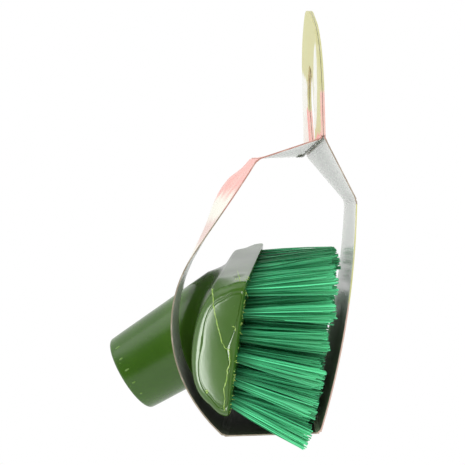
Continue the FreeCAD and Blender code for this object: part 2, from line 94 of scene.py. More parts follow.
ROOM_STRENGTH = 0.95
FRONT_STRENGTH = 0.1
world = bpy.data.worlds.new("studio")
bpy.context.scene.world = world
world.use_nodes = True
tree = world.node_tree
tree.nodes.clear()
heading = tree.nodes.new("ShaderNodeTexCoord")
split = tree.nodes.new("ShaderNodeSeparateXYZ")
link(tree, heading.outputs["Generated"], split.inputs[0])
ramp = tree.nodes.new("ShaderNodeMapRange")
ramp.interpolation_type = "SMOOTHSTEP"
ramp.inputs["From Min"].default_value = -0.8
ramp.inputs["From Max"].default_value = 0.0
ramp.inputs["To Min"].default_value = FRONT_STRENGTH
ramp.inputs["To Max"].default_value = 1.0
link(tree, split.outputs["Y"], ramp.inputs["Value"])
ray = tree.nodes.new("ShaderNodeLightPath")


def background(strength):
    """A white Background node of one strength, or of a strength that another node gives."""
    node = tree.nodes.new("ShaderNodeBackground")
    node.inputs["Color"].default_value = (1.0, 1.0, 1.0, 1.0)
    if isinstance(strength, float):
        node.inputs["Strength"].default_value = strength
    else:
        link(tree, strength, node.inputs["Strength"])
    return node.outputs[0]


def choose(mask, first, second):
    """first where the mask is 0, second where it is 1."""
    node = tree.nodes.new("ShaderNodeMixShader")
    link(tree, mask, node.inputs["Fac"])
    link(tree, first, node.inputs[1])
    link(tree, second, node.inputs[2])
    return node.outputs[0]


reflected = background(ramp.outputs["Result"])
room = choose(ray.outputs["Is Glossy Ray"], background(ROOM_STRENGTH), reflected)
room = choose(ray.outputs["Is Camera Ray"], room, background(1.0))
out = tree.nodes.new("ShaderNodeOutputWorld")
link(tree, room, out.inputs["Surface"])
print("room strength", ROOM_STRENGTH, "and", FRONT_STRENGTH, "in front for reflections")


# %% [markdown]
# ## Soft lamps
# A studio hangs wide lamps, whose soft edges follow the round of a moulding. Four of them shade
# the object. The front one is kept out of reflections, where it would wash the green out. The last
# lamp is the opposite, a shine card: it lights nothing evenly and only mirrors, and it is linked
# to the block alone, whose end wall then carries one long highlight.


# %% Hang soft lamps
def hang_lamp(name, spot, aim, width, height, power):
    """An oblong soft lamp at a spot, turned so that its face looks at the point aimed at."""
    data = bpy.data.lights.new(name, "AREA")
    data.shape = "RECTANGLE"
    data.size = width
    data.size_y = height
    data.energy = power
    lamp = bpy.data.objects.new(name, data)
    lamp.location = spot
    lamp.rotation_euler = (Vector(aim) - Vector(spot)).to_track_quat("-Z", "Y").to_euler()
    bpy.context.scene.collection.objects.link(lamp)
    return lamp


MIDDLE = (-0.02, 0.0, -0.09)
hang_lamp("lamp_left", (-0.62, -0.18, 0.6), MIDDLE, 0.7, 0.7, 1.6)
lamp_front = hang_lamp("lamp_front", (-0.12, -0.9, 0.1), MIDDLE, 0.35, 0.35, 1.9)
lamp_front.visible_glossy = False
hang_lamp("lamp_top", (0.15, -0.1, 0.8), MIDDLE, 0.7, 0.7, 0.7)
hang_lamp("lamp_right", (0.7, -0.45, 0.2), MIDDLE, 0.4, 0.6, 0.3)
shine_card = hang_lamp("shine_card", (-0.57, -0.43, -0.31), MIDDLE, 0.66, 0.7, 20.0)
shine_card.visible_diffuse = False
card_shines_on = bpy.data.collections.new("card_shines_on")
shine_card.light_linking.receiver_collection = card_shines_on
print("lamps", sorted(data.name for data in bpy.data.lights))


# %% [markdown]
# ## Meshes from arrays
# Every new piece is a grid of points that a formula gives, and a grid becomes a mesh once each
# little square knows its four corner numbers. Those numbers follow a pattern, so numpy writes all
# of them at once, which is quicker than adding points one by one and easy to check.


# %% Mesh helpers
def quads(rows, columns, wrap_rows=False, wrap_columns=False):
    """Corner numbers of each square of a grid: this point, the next row's, both one column on."""
    row = np.arange(rows if wrap_rows else rows - 1)[:, None]
    column = np.arange(columns if wrap_columns else columns - 1)[None, :]
    row, column = np.broadcast_arrays(row, column)
    next_row = (row + 1) % rows
    next_column = (column + 1) % columns
    corners = (row, column), (next_row, column), (next_row, next_column), (row, next_column)
    return np.stack([i * columns + j for i, j in corners], -1).reshape(-1, 4)


def tube_faces(rows, columns):
    """The squares round a tube of rings, and one many-sided cap at either end."""
    cap = np.arange(columns)
    caps = [cap[::-1].tolist(), (cap + (rows - 1) * columns).tolist()]
    return quads(rows, columns, wrap_columns=True).tolist() + caps


def full_turn(count):
    """Even angles once round a circle."""
    return np.linspace(0, 2 * math.pi, count, endpoint=False)


# %% Arrays to pieces
SHARP_ANGLE = math.radians(40)


def make_piece(name, points, faces, materials, kinds=None):
    """A closed mesh from points in millimetres. Its signed volume, the sum of each triangle's
    corner product, says whether its faces point outwards, and if not they are all turned."""
    mesh = bpy.data.meshes.new(name)
    mesh.from_pydata((np.asarray(points).reshape(-1, 3) * MM).tolist(), [], faces)
    for material in materials:
        mesh.materials.append(material)
    if kinds is not None:
        mesh.polygons.foreach_set("material_index", np.asarray(kinds, np.int32))
    mesh.calc_loop_triangles()
    corners = np.empty(len(mesh.loop_triangles) * 3, np.int32)
    mesh.loop_triangles.foreach_get("vertices", corners)
    spots = np.empty(len(mesh.vertices) * 3)
    mesh.vertices.foreach_get("co", spots)
    a, b, c = np.moveaxis(spots.reshape(-1, 3)[corners.reshape(-1, 3)], 1, 0)
    if np.einsum("ij,ij->", a, np.cross(b, c)) < 0:
        mesh.flip_normals()
    mesh.polygons.foreach_set("use_smooth", np.ones(len(mesh.polygons), bool))
    mesh.set_sharp_from_angle(angle=SHARP_ANGLE)
    mesh.update()
    piece = bpy.data.objects.new(name, mesh)
    bpy.context.scene.collection.objects.link(piece)
    print(name, len(mesh.polygons), "faces")
    return piece


def add_attribute(piece, name, values):
    """One number per point, for a material to read."""
    layer = piece.data.attributes.new(name, "FLOAT", "POINT")
    layer.data.foreach_set("value", np.asarray(values, np.float32).ravel())


def smooth_step(values, low, high):
    """0 below low, 1 above high, and an S curve between."""
    share = np.clip((values - low) / (high - low), 0, 1)
    return share * share * (3 - 2 * share)


# %% [markdown]
# ## Finishes
# The same two effects turn up in most finishes here: soft blotches, and a fine grain that catches
# the light. Each could be drawn again in every material. As a node group it is built once, with
# its own inputs, and each material places it with its own numbers.


# %% Node groups
def new_group(name, inputs, outputs):
    """An empty node group with number inputs (name, value) and outputs (name, kind)."""
    group = bpy.data.node_groups.new(name, "ShaderNodeTree")
    for label, value in inputs:
        socket = group.interface.new_socket(label, in_out="INPUT", socket_type="NodeSocketFloat")
        socket.default_value = value
    for label, kind in outputs:
        group.interface.new_socket(label, in_out="OUTPUT", socket_type=kind)
    return group, group.nodes.new("NodeGroupInput"), group.nodes.new("NodeGroupOutput")


def add_math(tree, operation, first, second):
    """A Math node; either side may be a number or another node's socket."""
    node = tree.nodes.new("ShaderNodeMath")
    node.operation = operation
    for slot, value in enumerate((first, second)):
        if isinstance(value, (int, float)):
            node.inputs[slot].default_value = value
        else:
            link(tree, value, node.inputs[slot])
    return node.outputs[0]


def add_noise(tree, scale, detail, stretch=(1, 1, 1)):
    """Noise in the piece's own coordinates, in metres, stretched along an axis."""
    place = tree.nodes.new("ShaderNodeTexCoord")
    mapping = tree.nodes.new("ShaderNodeMapping")
    mapping.inputs["Scale"].default_value = stretch
    link(tree, place.outputs["Object"], mapping.inputs["Vector"])
    noise = tree.nodes.new("ShaderNodeTexNoise")
    if isinstance(scale, (int, float)):
        noise.inputs["Scale"].default_value = scale
    else:
        link(tree, scale, noise.inputs["Scale"])
    noise.inputs["Detail"].default_value = detail
    link(tree, mapping.outputs[0], noise.inputs["Vector"])
    return noise.outputs["Fac"]


# %% Blotches and grain
def build_blotch_group():
    """Blotch: smooth noise pushed to a soft-edged mask, how much of it set by Cover."""
    group, given, result = new_group(
        "blotch",
        [("Scale", 100.0), ("Cover", 0.5), ("Softness", 0.1)],
        [("Mask", "NodeSocketFloat")],
    )
    noise = add_noise(group, given.outputs["Scale"], 3.0)
    edge = add_math(group, "SUBTRACT", 1.0, given.outputs["Cover"])
    spread = group.nodes.new("ShaderNodeMapRange")
    spread.interpolation_type = "SMOOTHSTEP"
    low = add_math(group, "SUBTRACT", edge, given.outputs["Softness"])
    high = add_math(group, "ADD", edge, given.outputs["Softness"])
    link(group, noise, spread.inputs["Value"])
    link(group, low, spread.inputs["From Min"])
    link(group, high, spread.inputs["From Max"])
    link(group, spread.outputs["Result"], result.inputs["Mask"])
    return group


def build_grain_group():
    """Grain: fine noise as a height for a Bump node."""
    group, given, result = new_group(
        "grain", [("Scale", 900.0), ("Depth", 1.0)], [("Height", "NodeSocketFloat")]
    )
    noise = add_noise(group, given.outputs["Scale"], 4.0)
    link(group, add_math(group, "MULTIPLY", noise, given.outputs["Depth"]), result.inputs["Height"])
    return group


blotch_group = build_blotch_group()
grain_group = build_grain_group()
print("effects", blotch_group.name, "and", grain_group.name)


def place_group(tree, group, **values):
    """One use of an effect, with this material's own numbers."""
    node = tree.nodes.new("ShaderNodeGroup")
    node.node_tree = group
    for label, value in values.items():
        node.inputs[label].default_value = value
    return node.outputs[0]


# %% Colours
def srgb(red, green, blue):
    """A colour given in 0 to 255, as the linear values that shaders work in."""
    parts = np.array((red, green, blue)) / 255
    linear = np.where(parts <= 0.04045, parts / 12.92, ((parts + 0.055) / 1.055) ** 2.4)
    return (*linear.tolist(), 1.0)


def mix_colours(tree, mask, first, second):
    """first where the mask is 0, second where it is 1; either may be a colour or a socket."""
    node = tree.nodes.new("ShaderNodeMix")
    node.data_type = "RGBA"
    sockets = node.inputs["Factor"], node.inputs[6], node.inputs[7]
    for socket, value in zip(sockets, (mask, first, second)):
        if isinstance(value, (tuple, int, float)):
            socket.default_value = value
        else:
            link(tree, value, socket)
    return node.outputs[2]


print("white as a shader knows it", srgb(255, 255, 255))


# %% Materials and their sockets
def new_material(name, roughness, **constants):
    """A material with one Principled shader and its constants set on its own sockets."""
    material = bpy.data.materials.new(name)
    material.use_nodes = True
    tree = material.node_tree
    tree.nodes.clear()
    shader = tree.nodes.new("ShaderNodeBsdfPrincipled")
    shader.inputs["Roughness"].default_value = roughness
    for label, value in constants.items():
        shader.inputs[label.replace("_", " ")].default_value = value
    out = tree.nodes.new("ShaderNodeOutputMaterial")
    link(tree, shader.outputs[0], out.inputs["Surface"])
    return material, tree, shader


def add_bump(tree, shader, height, distance):
    """Heights of 0 to 1 felt as a relief of a distance in metres."""
    bump = tree.nodes.new("ShaderNodeBump")
    bump.inputs["Distance"].default_value = distance
    link(tree, height, bump.inputs["Height"])
    link(tree, bump.outputs[0], shader.inputs["Normal"])


def add_grain(tree, shader, scale, distance):
    """A fine grain of that scale, as a relief of a distance in metres."""
    add_bump(tree, shader, place_group(tree, grain_group, Scale=scale, Depth=1.0), distance)


def rescale(tree, value, times, plus):
    """The value times one number, plus another."""
    return add_math(tree, "ADD", add_math(tree, "MULTIPLY", value, times), plus)


def add_colour(tree, shader, colour):
    """A node's colour as the shader's own."""
    link(tree, colour, shader.inputs["Base Color"])


def span(tree, value, low, high):
    """0 to 1 as a value goes from low to high, with soft ends."""
    node = tree.nodes.new("ShaderNodeMapRange")
    node.interpolation_type = "SMOOTHSTEP"
    node.inputs["From Min"].default_value = low
    node.inputs["From Max"].default_value = high
    link(tree, value, node.inputs["Value"])
    return node.outputs["Result"]


def object_axes(tree):
    """The piece's own x, y and z, in metres."""
    place = tree.nodes.new("ShaderNodeTexCoord")
    split = tree.nodes.new("ShaderNodeSeparateXYZ")
    link(tree, place.outputs["Object"], split.inputs[0])
    return split.outputs


# %% [markdown]
# ## Plastic and steel
# The block and the socket are olive polypropylene with cloudy flow marks and small scuffs. One
# green would look like paint, so two greens are blended by a blotch mask and the roughness wanders
# too. The filaments are the same kind of plastic in emerald, each in its own shade, and the wires
# that hold them are drawn steel.


# %% Moulded plastic
def make_plastic(name, deep, light):
    """Two greens clouded together, with paler specks, a fine satin grain and uneven gloss."""
    material, tree, shader = new_material(name, 0.2, IOR=1.5, Subsurface_Weight=0.05)
    shader.inputs["Subsurface Radius"].default_value = (0.4, 1.0, 0.2)
    shader.inputs["Subsurface Scale"].default_value = 0.002
    cloud = place_group(tree, blotch_group, Scale=38.0, Cover=0.5, Softness=0.3)
    speck = place_group(tree, blotch_group, Scale=900.0, Cover=0.26, Softness=0.03)
    green = mix_colours(tree, cloud, deep, light)
    add_colour(tree, shader, mix_colours(tree, speck, green, SCUFF_GREEN))
    gloss = rescale(tree, add_noise(tree, 60.0, 3.0), 0.12, 0.17)
    link(tree, gloss, shader.inputs["Roughness"])
    add_grain(tree, shader, 450.0, 0.00004)
    return material


def make_flash():
    """Thin yellow-green plastic that lets light through, squeezed out of the mould."""
    material, tree, shader = new_material("flash_plastic", 0.45, IOR=1.5, Subsurface_Weight=0.3)
    shader.inputs["Subsurface Radius"].default_value = (0.6, 1.0, 0.2)
    shader.inputs["Subsurface Scale"].default_value = 0.001
    cloud = place_group(tree, blotch_group, Scale=500.0, Cover=0.5, Softness=0.2)
    add_colour(tree, shader, mix_colours(tree, cloud, srgb(140, 180, 70), srgb(190, 222, 130)))
    add_grain(tree, shader, 1500.0, 0.00005)
    return material


# %% Filament and wire
def read_attribute(tree, name):
    """The number that a piece carries at each point under this name."""
    node = tree.nodes.new("ShaderNodeAttribute")
    node.attribute_name = name
    return node.outputs["Fac"]


def make_bristle():
    """Emerald filament: each one its own shade, paler towards the tip as painted light and darker
    at the root as painted shade.
    """
    constants = {"IOR": 1.5, "Specular_IOR_Level": 0.35}
    material, tree, shader = new_material("emerald_filament", 0.32, **constants)
    along = read_attribute(tree, "along")
    green = mix_colours(tree, read_attribute(tree, "shade"), srgb(0, 90, 44), srgb(98, 232, 164))
    # Painted light: the tips are coloured paler, where light reaches the tufts.
    tip = add_math(tree, "MULTIPLY", span(tree, along, 0.5, 1.0), 0.35)
    green = mix_colours(tree, tip, green, srgb(110, 225, 160))
    # Painted shade: the roots are coloured darker, where the tufts shade one another.
    root = add_math(tree, "MULTIPLY", span(tree, along, 0.35, 0.0), 0.7)
    add_colour(tree, shader, mix_colours(tree, root, green, srgb(0, 62, 16)))
    streak = add_noise(tree, 900.0, 2.0, stretch=(0.1, 1, 1))
    link(tree, rescale(tree, streak, 0.2, 0.22), shader.inputs["Roughness"])
    return material


def make_steel():
    """Drawn steel wire: fine lines along it and a little dulling."""
    material, tree, shader = new_material("wire_steel", 0.3, Metallic=1.0)
    lines = add_noise(tree, 1200.0, 3.0, stretch=(1, 0.1, 1))
    add_colour(tree, shader, mix_colours(tree, lines, srgb(150, 150, 148), srgb(190, 190, 186)))
    link(tree, rescale(tree, lines, 0.3, 0.2), shader.inputs["Roughness"])
    return material


# %% Mix the plastics
SCUFF_GREEN = srgb(96, 134, 58)
plastic = make_plastic("olive_plastic", srgb(47, 84, 8), srgb(62, 100, 24))
# A paler green, for the raised ticks in the socket's mouth.
pale_plastic = make_plastic("pale_tick_plastic", srgb(92, 128, 52), srgb(120, 152, 84))
flash_plastic = make_flash()
filament = make_bristle()
steel = make_steel()
print("plastics", plastic.name, pale_plastic.name, flash_plastic.name, filament.name)

# %% [markdown]
# ## Paperboard
# The board is clay coated: print outside, grey-white coating inside, and where it is cut the tan
# fibres show. The print is soft areas of colour. A flat drawing could be laid on, but a mask over
# the piece's own height, shaken by noise, gives worn and wandering boundaries that stay sharp at
# any size.


# %% Board finishes
def shaken_height(tree, scale, depth):
    """The piece's own z, moved up and down by noise so that a boundary wanders."""
    away = add_math(tree, "SUBTRACT", add_noise(tree, scale, 3.0), 0.5)
    push = add_math(tree, "MULTIPLY", away, depth)
    return add_math(tree, "ADD", object_axes(tree)["Z"], push)


def coat_board(name, roughness, wave=0.0001):
    """A coated board surface with faint waves and a satin varnish."""
    material, tree, shader = new_material(name, roughness, IOR=1.5, Specular_IOR_Level=0.4)
    add_bump(tree, shader, add_noise(tree, 90.0, 1.0), wave)
    return material, tree, shader


# %% Print
BAND_BLUR = 2.5


def make_print(name, top, *bands):
    """Print that changes with height: the top colour, then bands of (height in mm, colour) from
    the top down. Paler mottling lies over it all, where the ink took unevenly."""
    material, tree, shader = coat_board(name, 0.35)
    colour = top
    if bands:
        height = shaken_height(tree, 90.0, 0.012)
    for level, below in bands:
        mask = span(tree, height, (level + BAND_BLUR) * MM, (level - BAND_BLUR) * MM)
        colour = mix_colours(tree, mask, colour, below)
    mottle = place_group(tree, blotch_group, Scale=110.0, Cover=0.42, Softness=0.2)
    mottle = add_math(tree, "MULTIPLY", mottle, 0.35)
    add_colour(tree, shader, mix_colours(tree, mottle, colour, srgb(226, 222, 208)))
    return material


YELLOW_GREEN = srgb(203, 201, 132)
PALE_LEAF = srgb(224, 226, 160)
CREAM = srgb(240, 238, 222)
PINK = srgb(238, 160, 148)
DUSTY_PINK = srgb(224, 190, 180)
CLAY = srgb(250, 250, 246)
PALE_GREY = srgb(208, 206, 198)

# Painted shade for the inner coat near the foot: near black olive at the back and the floor, and
# grey-green at the front, with the bristles' green painted in as a reflection.
FOOT_PAINTED_SHADE = srgb(58, 64, 46)
GREEN_PAINTED_SHADE = srgb(150, 165, 135)
PINK_EDGE = srgb(176, 128, 116)
ROSE_EDGE = srgb(206, 172, 160)
GREY_EDGE = srgb(140, 130, 112)
TAN_EDGE = srgb(152, 138, 122)

print_roof = make_print("print_roof", PINK, (-36, PINK), (-37.5, CREAM), (-39, PINK))
back_bands = (-52, CREAM), (-62, DUSTY_PINK), (-72, CREAM), (-82, PALE_GREY)
print_back = make_print("print_back", PINK, *back_bands)
front_bands = (-72, PALE_LEAF), (-88, CREAM), (-104, PINK), (-128, DUSTY_PINK)
print_front = make_print("print_front", YELLOW_GREEN, *front_bands)
print_floor = make_print("print_floor", PALE_GREY, (-139.5, CREAM))


print("printed faces", print_roof.name, print_back.name, print_front.name, print_floor.name)


# %% Inner coat, cut edge and glue
def coat_inside(name, roughness, smudged, share):
    """The clay coat inside, smudged by a share of another colour in soft blotches."""
    material, tree, shader = coat_board(name, roughness, wave=0.00002)
    smudge = place_group(tree, blotch_group, Scale=55.0, Cover=0.45, Softness=0.25)
    smudge = add_math(tree, "MULTIPLY", smudge, share)
    return material, tree, shader, mix_colours(tree, smudge, *smudged)


COAT_ROUGHNESS = 0.22


def make_inside(name, unshaded_above, shaded_below, shade_colour):
    """The inner coating, which turns dark with painted shade, and dull, between two heights in mm
    near the foot.
    """
    smudged = CLAY, srgb(238, 239, 232)
    material, tree, shader, colour = coat_inside(name, COAT_ROUGHNESS, smudged, 0.5)
    height = shaken_height(tree, 60.0, 0.01)
    # Painted shade: below these heights the coat is coloured dark, as the shade near the foot.
    painted_shade = span(tree, height, unshaded_above * MM, shaded_below * MM)
    link(tree, rescale(tree, painted_shade, 0.6, COAT_ROUGHNESS), shader.inputs["Roughness"])
    add_colour(tree, shader, mix_colours(tree, painted_shade, colour, shade_colour))
    return material


def make_cut_edge(name, upper, lower, level):
    """Cut board: fibre with paler tufts standing out, stained by the print's colour, which
    changes from the upper one to the lower one at a height in mm."""
    material, tree, shader = new_material(name, 0.85)
    fibre = place_group(tree, blotch_group, Scale=260.0, Cover=0.4, Softness=0.2)
    height = shaken_height(tree, 90.0, 0.004)
    stain = mix_colours(tree, span(tree, height, (level + 1) * MM, (level - 1) * MM), upper, lower)
    pale = mix_colours(tree, 0.35, stain, srgb(226, 216, 200))
    add_colour(tree, shader, mix_colours(tree, fibre, stain, pale))
    add_grain(tree, shader, 1200.0, 0.0001)
    return material


def make_glue():
    """Dried glue with darker blotches of torn fibre."""
    material, tree, shader = new_material("dried_glue", 0.35, IOR=1.45)
    dark = place_group(tree, blotch_group, Scale=300.0, Cover=0.55, Softness=0.15)
    add_colour(tree, shader, mix_colours(tree, dark, srgb(168, 170, 158), srgb(116, 120, 104)))
    add_grain(tree, shader, 800.0, 0.0002)
    return material


# %% Mix the board finishes
# Both insides darken towards the foot with painted shade.
board_inside = make_inside("board_inside", -108.0, -130.0, FOOT_PAINTED_SHADE)
front_inside = make_inside("front_inside", -88.0, -110.0, GREEN_PAINTED_SHADE)
board_cut = make_cut_edge("board_cut", PINK_EDGE, GREY_EDGE, -60.0)
roof_cut = make_cut_edge("roof_cut", TAN_EDGE, TAN_EDGE, -40.0)
front_cut = make_cut_edge("front_cut", srgb(196, 194, 132), ROSE_EDGE, -92.0)
header_cut = make_cut_edge("header_cut", srgb(190, 188, 138), srgb(222, 176, 166), -17.0)
dried_glue = make_glue()
print("board finishes", sorted(m.name for m in bpy.data.materials if "plastic" not in m.name))


# %% Crease finishes
def crease_finishes(name, outer, inner, edge, inner_roughness=COAT_ROUGHNESS):
    """Print, inner coat and cut edge of one crease. A crease moves through space as it bends, so
    none of its colours depend on height, only on the faint blotches."""
    smudged = inner, PALE_GREY
    coat, tree, shader, colour = coat_inside(f"{name}_inside", inner_roughness, smudged, 0.2)
    add_colour(tree, shader, colour)
    return [make_print(f"{name}_print", outer), coat, make_cut_edge(f"{name}_cut", edge, edge, 0.0)]


FOOT_ROUGHNESS = 0.82
crease_looks = {
    "shoulder": crease_finishes("shoulder", PINK, CLAY, PINK_EDGE),
    # The heel and toe creases are coloured inside with the same painted shade.
    "heel": crease_finishes("heel", PALE_GREY, FOOT_PAINTED_SHADE, GREY_EDGE, FOOT_ROUGHNESS),
    "toe": crease_finishes("toe", DUSTY_PINK, GREEN_PAINTED_SHADE, ROSE_EDGE, FOOT_ROUGHNESS),
    "brow": crease_finishes("brow", YELLOW_GREEN, CLAY, TAN_EDGE),
    "apex": crease_finishes("apex", PINK, CLAY, PINK_EDGE),
}
print("creases", list(crease_looks))

# %% [markdown]
# ## The brush's own frame
# The brush sits a little askew in the sleeve. Its surfaces could be written where they lie, but
# their formulas are plainer in the brush's own frame, x out of the bristle face, y along the block
# and z up. One turn and one shift then set every point down.


# %% Set down the brush
def turn_about(axis, degrees):
    """The matrix that turns points about one axis."""
    return np.array(Matrix.Rotation(math.radians(degrees), 3, axis))


BRUSH_TURN = turn_about("Z", -4.6) @ turn_about("X", 6.3) @ turn_about("Y", 7.9)
BRUSH_SPOT = np.array((-25.6, 0.0, -101.2))


def set_down(points):
    """From the brush's frame to the sleeve's: turned, then shifted."""
    return points @ BRUSH_TURN.T + BRUSH_SPOT


def finish_brush_piece(piece):
    """What every piece of the brush says: it rides on the brush."""
    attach(piece, "brush")


print("brush set down at", BRUSH_SPOT)

# %% [markdown]
# ## The block
# The block is one moulded profile carried along its length. A box with rounded edges would be
# quicker, but a moulding's corners are worn round by different amounts, so the profile's points
# are averaged with their neighbours. The two end walls are rings that shrink inwards: round over
# the rim, dip into a shallow groove, then swell into a low crown towards the bristle side.

# %% Profile of the block
FACE_LOW = (0.0, -24.9)
FACE_TOP = (0.0, 24.1)
SIDE_END = (-11.5, 21.0)
CROWN = (-17.1, 0.0)
HEEL = (-14.2, -16.5)
HEEL_ROUND = (-8.6, -22.8)


# %% Draw the outline
def arc_through(first, middle, last, count):
    """Points on the circle through three points; its centre is where two bisectors cross."""
    a, b, c = (np.array(corner) for corner in (first, middle, last))
    sides = 2 * np.array([b - a, c - a])
    centre = np.linalg.solve(sides, [b @ b - a @ a, c @ c - a @ a])
    start, half, end = (math.atan2(*(corner - centre)[::-1]) for corner in (a, b, c))
    turns = np.unwrap([start, half, end])
    angles = np.linspace(turns[0], turns[2], count)
    radius = np.linalg.norm(a - centre)
    return centre + radius * np.stack([np.cos(angles), np.sin(angles)], -1)


def even_steps(path, count, endpoint=True):
    """Points at even distances along a path: each is looked up by the distance walked so far."""
    path = np.asarray(path, float)
    walked = np.concatenate([[0], np.cumsum(np.linalg.norm(np.diff(path, axis=0), axis=1))])
    stops = np.linspace(0, walked[-1], count, endpoint=endpoint)
    return np.stack([np.interp(stops, walked, column) for column in path.T], -1)


PROFILE_POINTS = 260
SIDE_WEAR = 6
END_WEAR = 220
outline = np.vstack(
    [
        np.linspace(FACE_LOW, FACE_TOP, 60),
        np.linspace(FACE_TOP, SIDE_END, 20)[1:],
        arc_through(SIDE_END, CROWN, HEEL, 60)[1:],
        arc_through(HEEL, HEEL_ROUND, FACE_LOW, 30)[1:-1],
    ]
)
closed_outline = np.vstack([outline, outline[:1]])
block_profile = even_steps(closed_outline, PROFILE_POINTS, endpoint=False)


def worn(values, rounds):
    """Each value replaced by a quarter of either neighbour and half of itself, many times."""
    for _ in range(rounds):
        values = (np.roll(values, 1, 0) + 2 * values + np.roll(values, -1, 0)) / 4
    return values


block_profile = worn(block_profile, SIDE_WEAR)
behind_face = smooth_step(-block_profile[:, :1], 3.0, 8.0)
end_profile = block_profile + behind_face * (worn(block_profile, END_WEAR) - block_profile)
print("profile points", len(block_profile))

# %% Rings of the block
BLOCK_HALF = 57.5
RIM = 3.0
GROOVE_WIDTH = 1.3
GROOVE_DEPTH = 0.22
WALL_RISE = 2.4
WALL_REACH = 5.0
SOFT_RUN = 18.0
SWELL = 0.9
PROFILE_HEART = np.array((-6.5, 0.0))


def back_outline(height):
    """x of the block's back at a height, read off the profile."""
    back = block_profile[block_profile[:, 0] < -6.0]
    order = np.argsort(back[:, 1])
    return np.interp(height, back[order, 1], back[order, 0])


def end_rings():
    """Half of the block: (inset, shrink, y) for each ring from the middle out to the end wall."""
    straight = [(0.0, 0.0, y) for y in np.linspace(0, BLOCK_HALF - RIM, 40)]
    turns = np.linspace(0, math.pi / 2, 8)[1:]
    rim = [(RIM * (1 - math.cos(t)), 0.0, BLOCK_HALF - RIM + RIM * math.sin(t)) for t in turns]
    shares = np.linspace(0, 1, 7)[1:]
    dips = [GROOVE_DEPTH * math.sin(math.pi * t) for t in shares]
    groove = [(RIM + GROOVE_WIDTH * t, 0.0, BLOCK_HALF - dip) for t, dip in zip(shares, dips)]
    wall = [(RIM + GROOVE_WIDTH, t, BLOCK_HALF) for t in np.linspace(0, 0.97, 22)[1:]]
    return np.array(straight + rim + groove + wall)


def wall_lift(x, z):
    """How far the end wall swells at a place on it: 1 - exp(-distance from the back / reach)."""
    gap = np.clip(x - back_outline(z), 0, None)
    return WALL_RISE * (1 - np.exp(-gap / WALL_REACH)) - WALL_RISE / 2


def block_half(side):
    """Each profile point moved inwards by a ring's inset, then shrunk towards the heart. Near the
    end the profile is the worn one, drawn in behind the face, and the wall has its lift."""
    inset, shrink, y = end_rings().T[:, :, None]
    near_end = smooth_step(y, BLOCK_HALF - SOFT_RUN, BLOCK_HALF)[..., None]
    spoke = block_profile + near_end * (end_profile - block_profile) - PROFILE_HEART
    length = np.linalg.norm(spoke, axis=-1)
    draft = SWELL * behind_face[:, 0] * np.clip((y - BLOCK_HALF + SOFT_RUN) / SOFT_RUN, 0, 1) ** 2
    keep = (1 - (inset + draft) / length) * (1 - shrink)
    flat = PROFILE_HEART + spoke * keep[:, :, None]
    onto_wall = smooth_step(y, BLOCK_HALF - 2 * RIM, BLOCK_HALF)
    depth = y + wall_lift(flat[..., 0], flat[..., 1]) * onto_wall
    return np.stack([flat[..., 0], side * depth, flat[..., 1]], -1)


# %% Close the block
near_rings, far_rings = block_half(-1), block_half(1)
block_points = np.concatenate([near_rings[::-1], far_rings[1:]])
block_faces = tube_faces(len(block_points), PROFILE_POINTS)
block = make_piece("block", set_down(block_points), block_faces, [plastic])
finish_brush_piece(block)
card_shines_on.objects.link(block)

# %% [markdown]
# ## The handle socket
# The socket is a tapered tube that leans out of the block's back. A turned tube pushed into the
# block would meet it at a hard line, where the real one flows into it. So for each direction round
# its axis the straight wall stops short of the block, and a curved bridge lands along the block's
# surface. The bridge is a quadratic Bezier whose middle control point is the meeting place.

# %% Where the socket meets the block
LEAN = math.radians(39.8)
MOUTH = np.array((-44.2, 0.0, -29.3))
AXIS = np.array((math.cos(LEAN), 0.0, math.sin(LEAN)))
ACROSS = np.array((-math.sin(LEAN), 0.0, math.cos(LEAN)))
SIDEWAYS = np.array((0.0, 1.0, 0.0))
SPOKES = 120
HALVINGS = 24
SOCKET_RUN = 55.0
BORE = 12.05
BORE_DEPTH = 30.0
MOUTH_RADIUS = 16.0
TAPER = 3.0 / SOCKET_RUN
RIM_ROUND = 1.2
BORE_ROUND = 0.8
BRIDGE_WALL = 6.0
BRIDGE_BLOCK = 5.0

angles = full_turn(SPOKES)
spokes = np.cos(angles)[:, None] * ACROSS + np.sin(angles)[:, None] * SIDEWAYS


def wall_point(along):
    """A point on the outside wall, a distance along the axis from the mouth, for each spoke."""
    along = np.broadcast_to(along, SPOKES)[:, None]
    return MOUTH + AXIS * along + spokes * (MOUTH_RADIUS + TAPER * along)


def nearest_on_profile(flat):
    """Nearest point of the block's outline to each (x, z), and the outward normal there."""
    start = block_profile
    side = np.roll(block_profile, -1, 0) - start
    share = np.einsum("pij,ij->pi", flat[:, None] - start, side) / np.einsum("ij,ij->i", side, side)
    foot = start + np.clip(share, 0, 1)[..., None] * side
    best = np.argmin(np.linalg.norm(flat[:, None] - foot, axis=-1), axis=1)
    picked = np.arange(len(flat))
    normal = np.stack([side[best, 1], -side[best, 0]], -1)
    normal /= np.linalg.norm(normal, axis=1)[:, None]
    return foot[picked, best], normal


def outside_by(points):
    """How far points are outside the block's outline; negative inside."""
    foot, normal = nearest_on_profile(points[:, [0, 2]])
    return np.einsum("ij,ij->i", points[:, [0, 2]] - foot, normal)


# %% Find the meeting line
low, high = np.full(SPOKES, 5.0), np.full(SPOKES, SOCKET_RUN)
for _ in range(HALVINGS):
    middle = (low + high) / 2
    is_out = outside_by(wall_point(middle)) > 0
    low, high = np.where(is_out, middle, low), np.where(is_out, high, middle)
reached = wall_point(low)
foot, _ = nearest_on_profile(reached[:, [0, 2]])
meeting = np.stack([foot[:, 0], reached[:, 1], foot[:, 1]], -1)
print("socket meets block at", round(low.min(), 1), "to", round(low.max(), 1), "mm from its mouth")

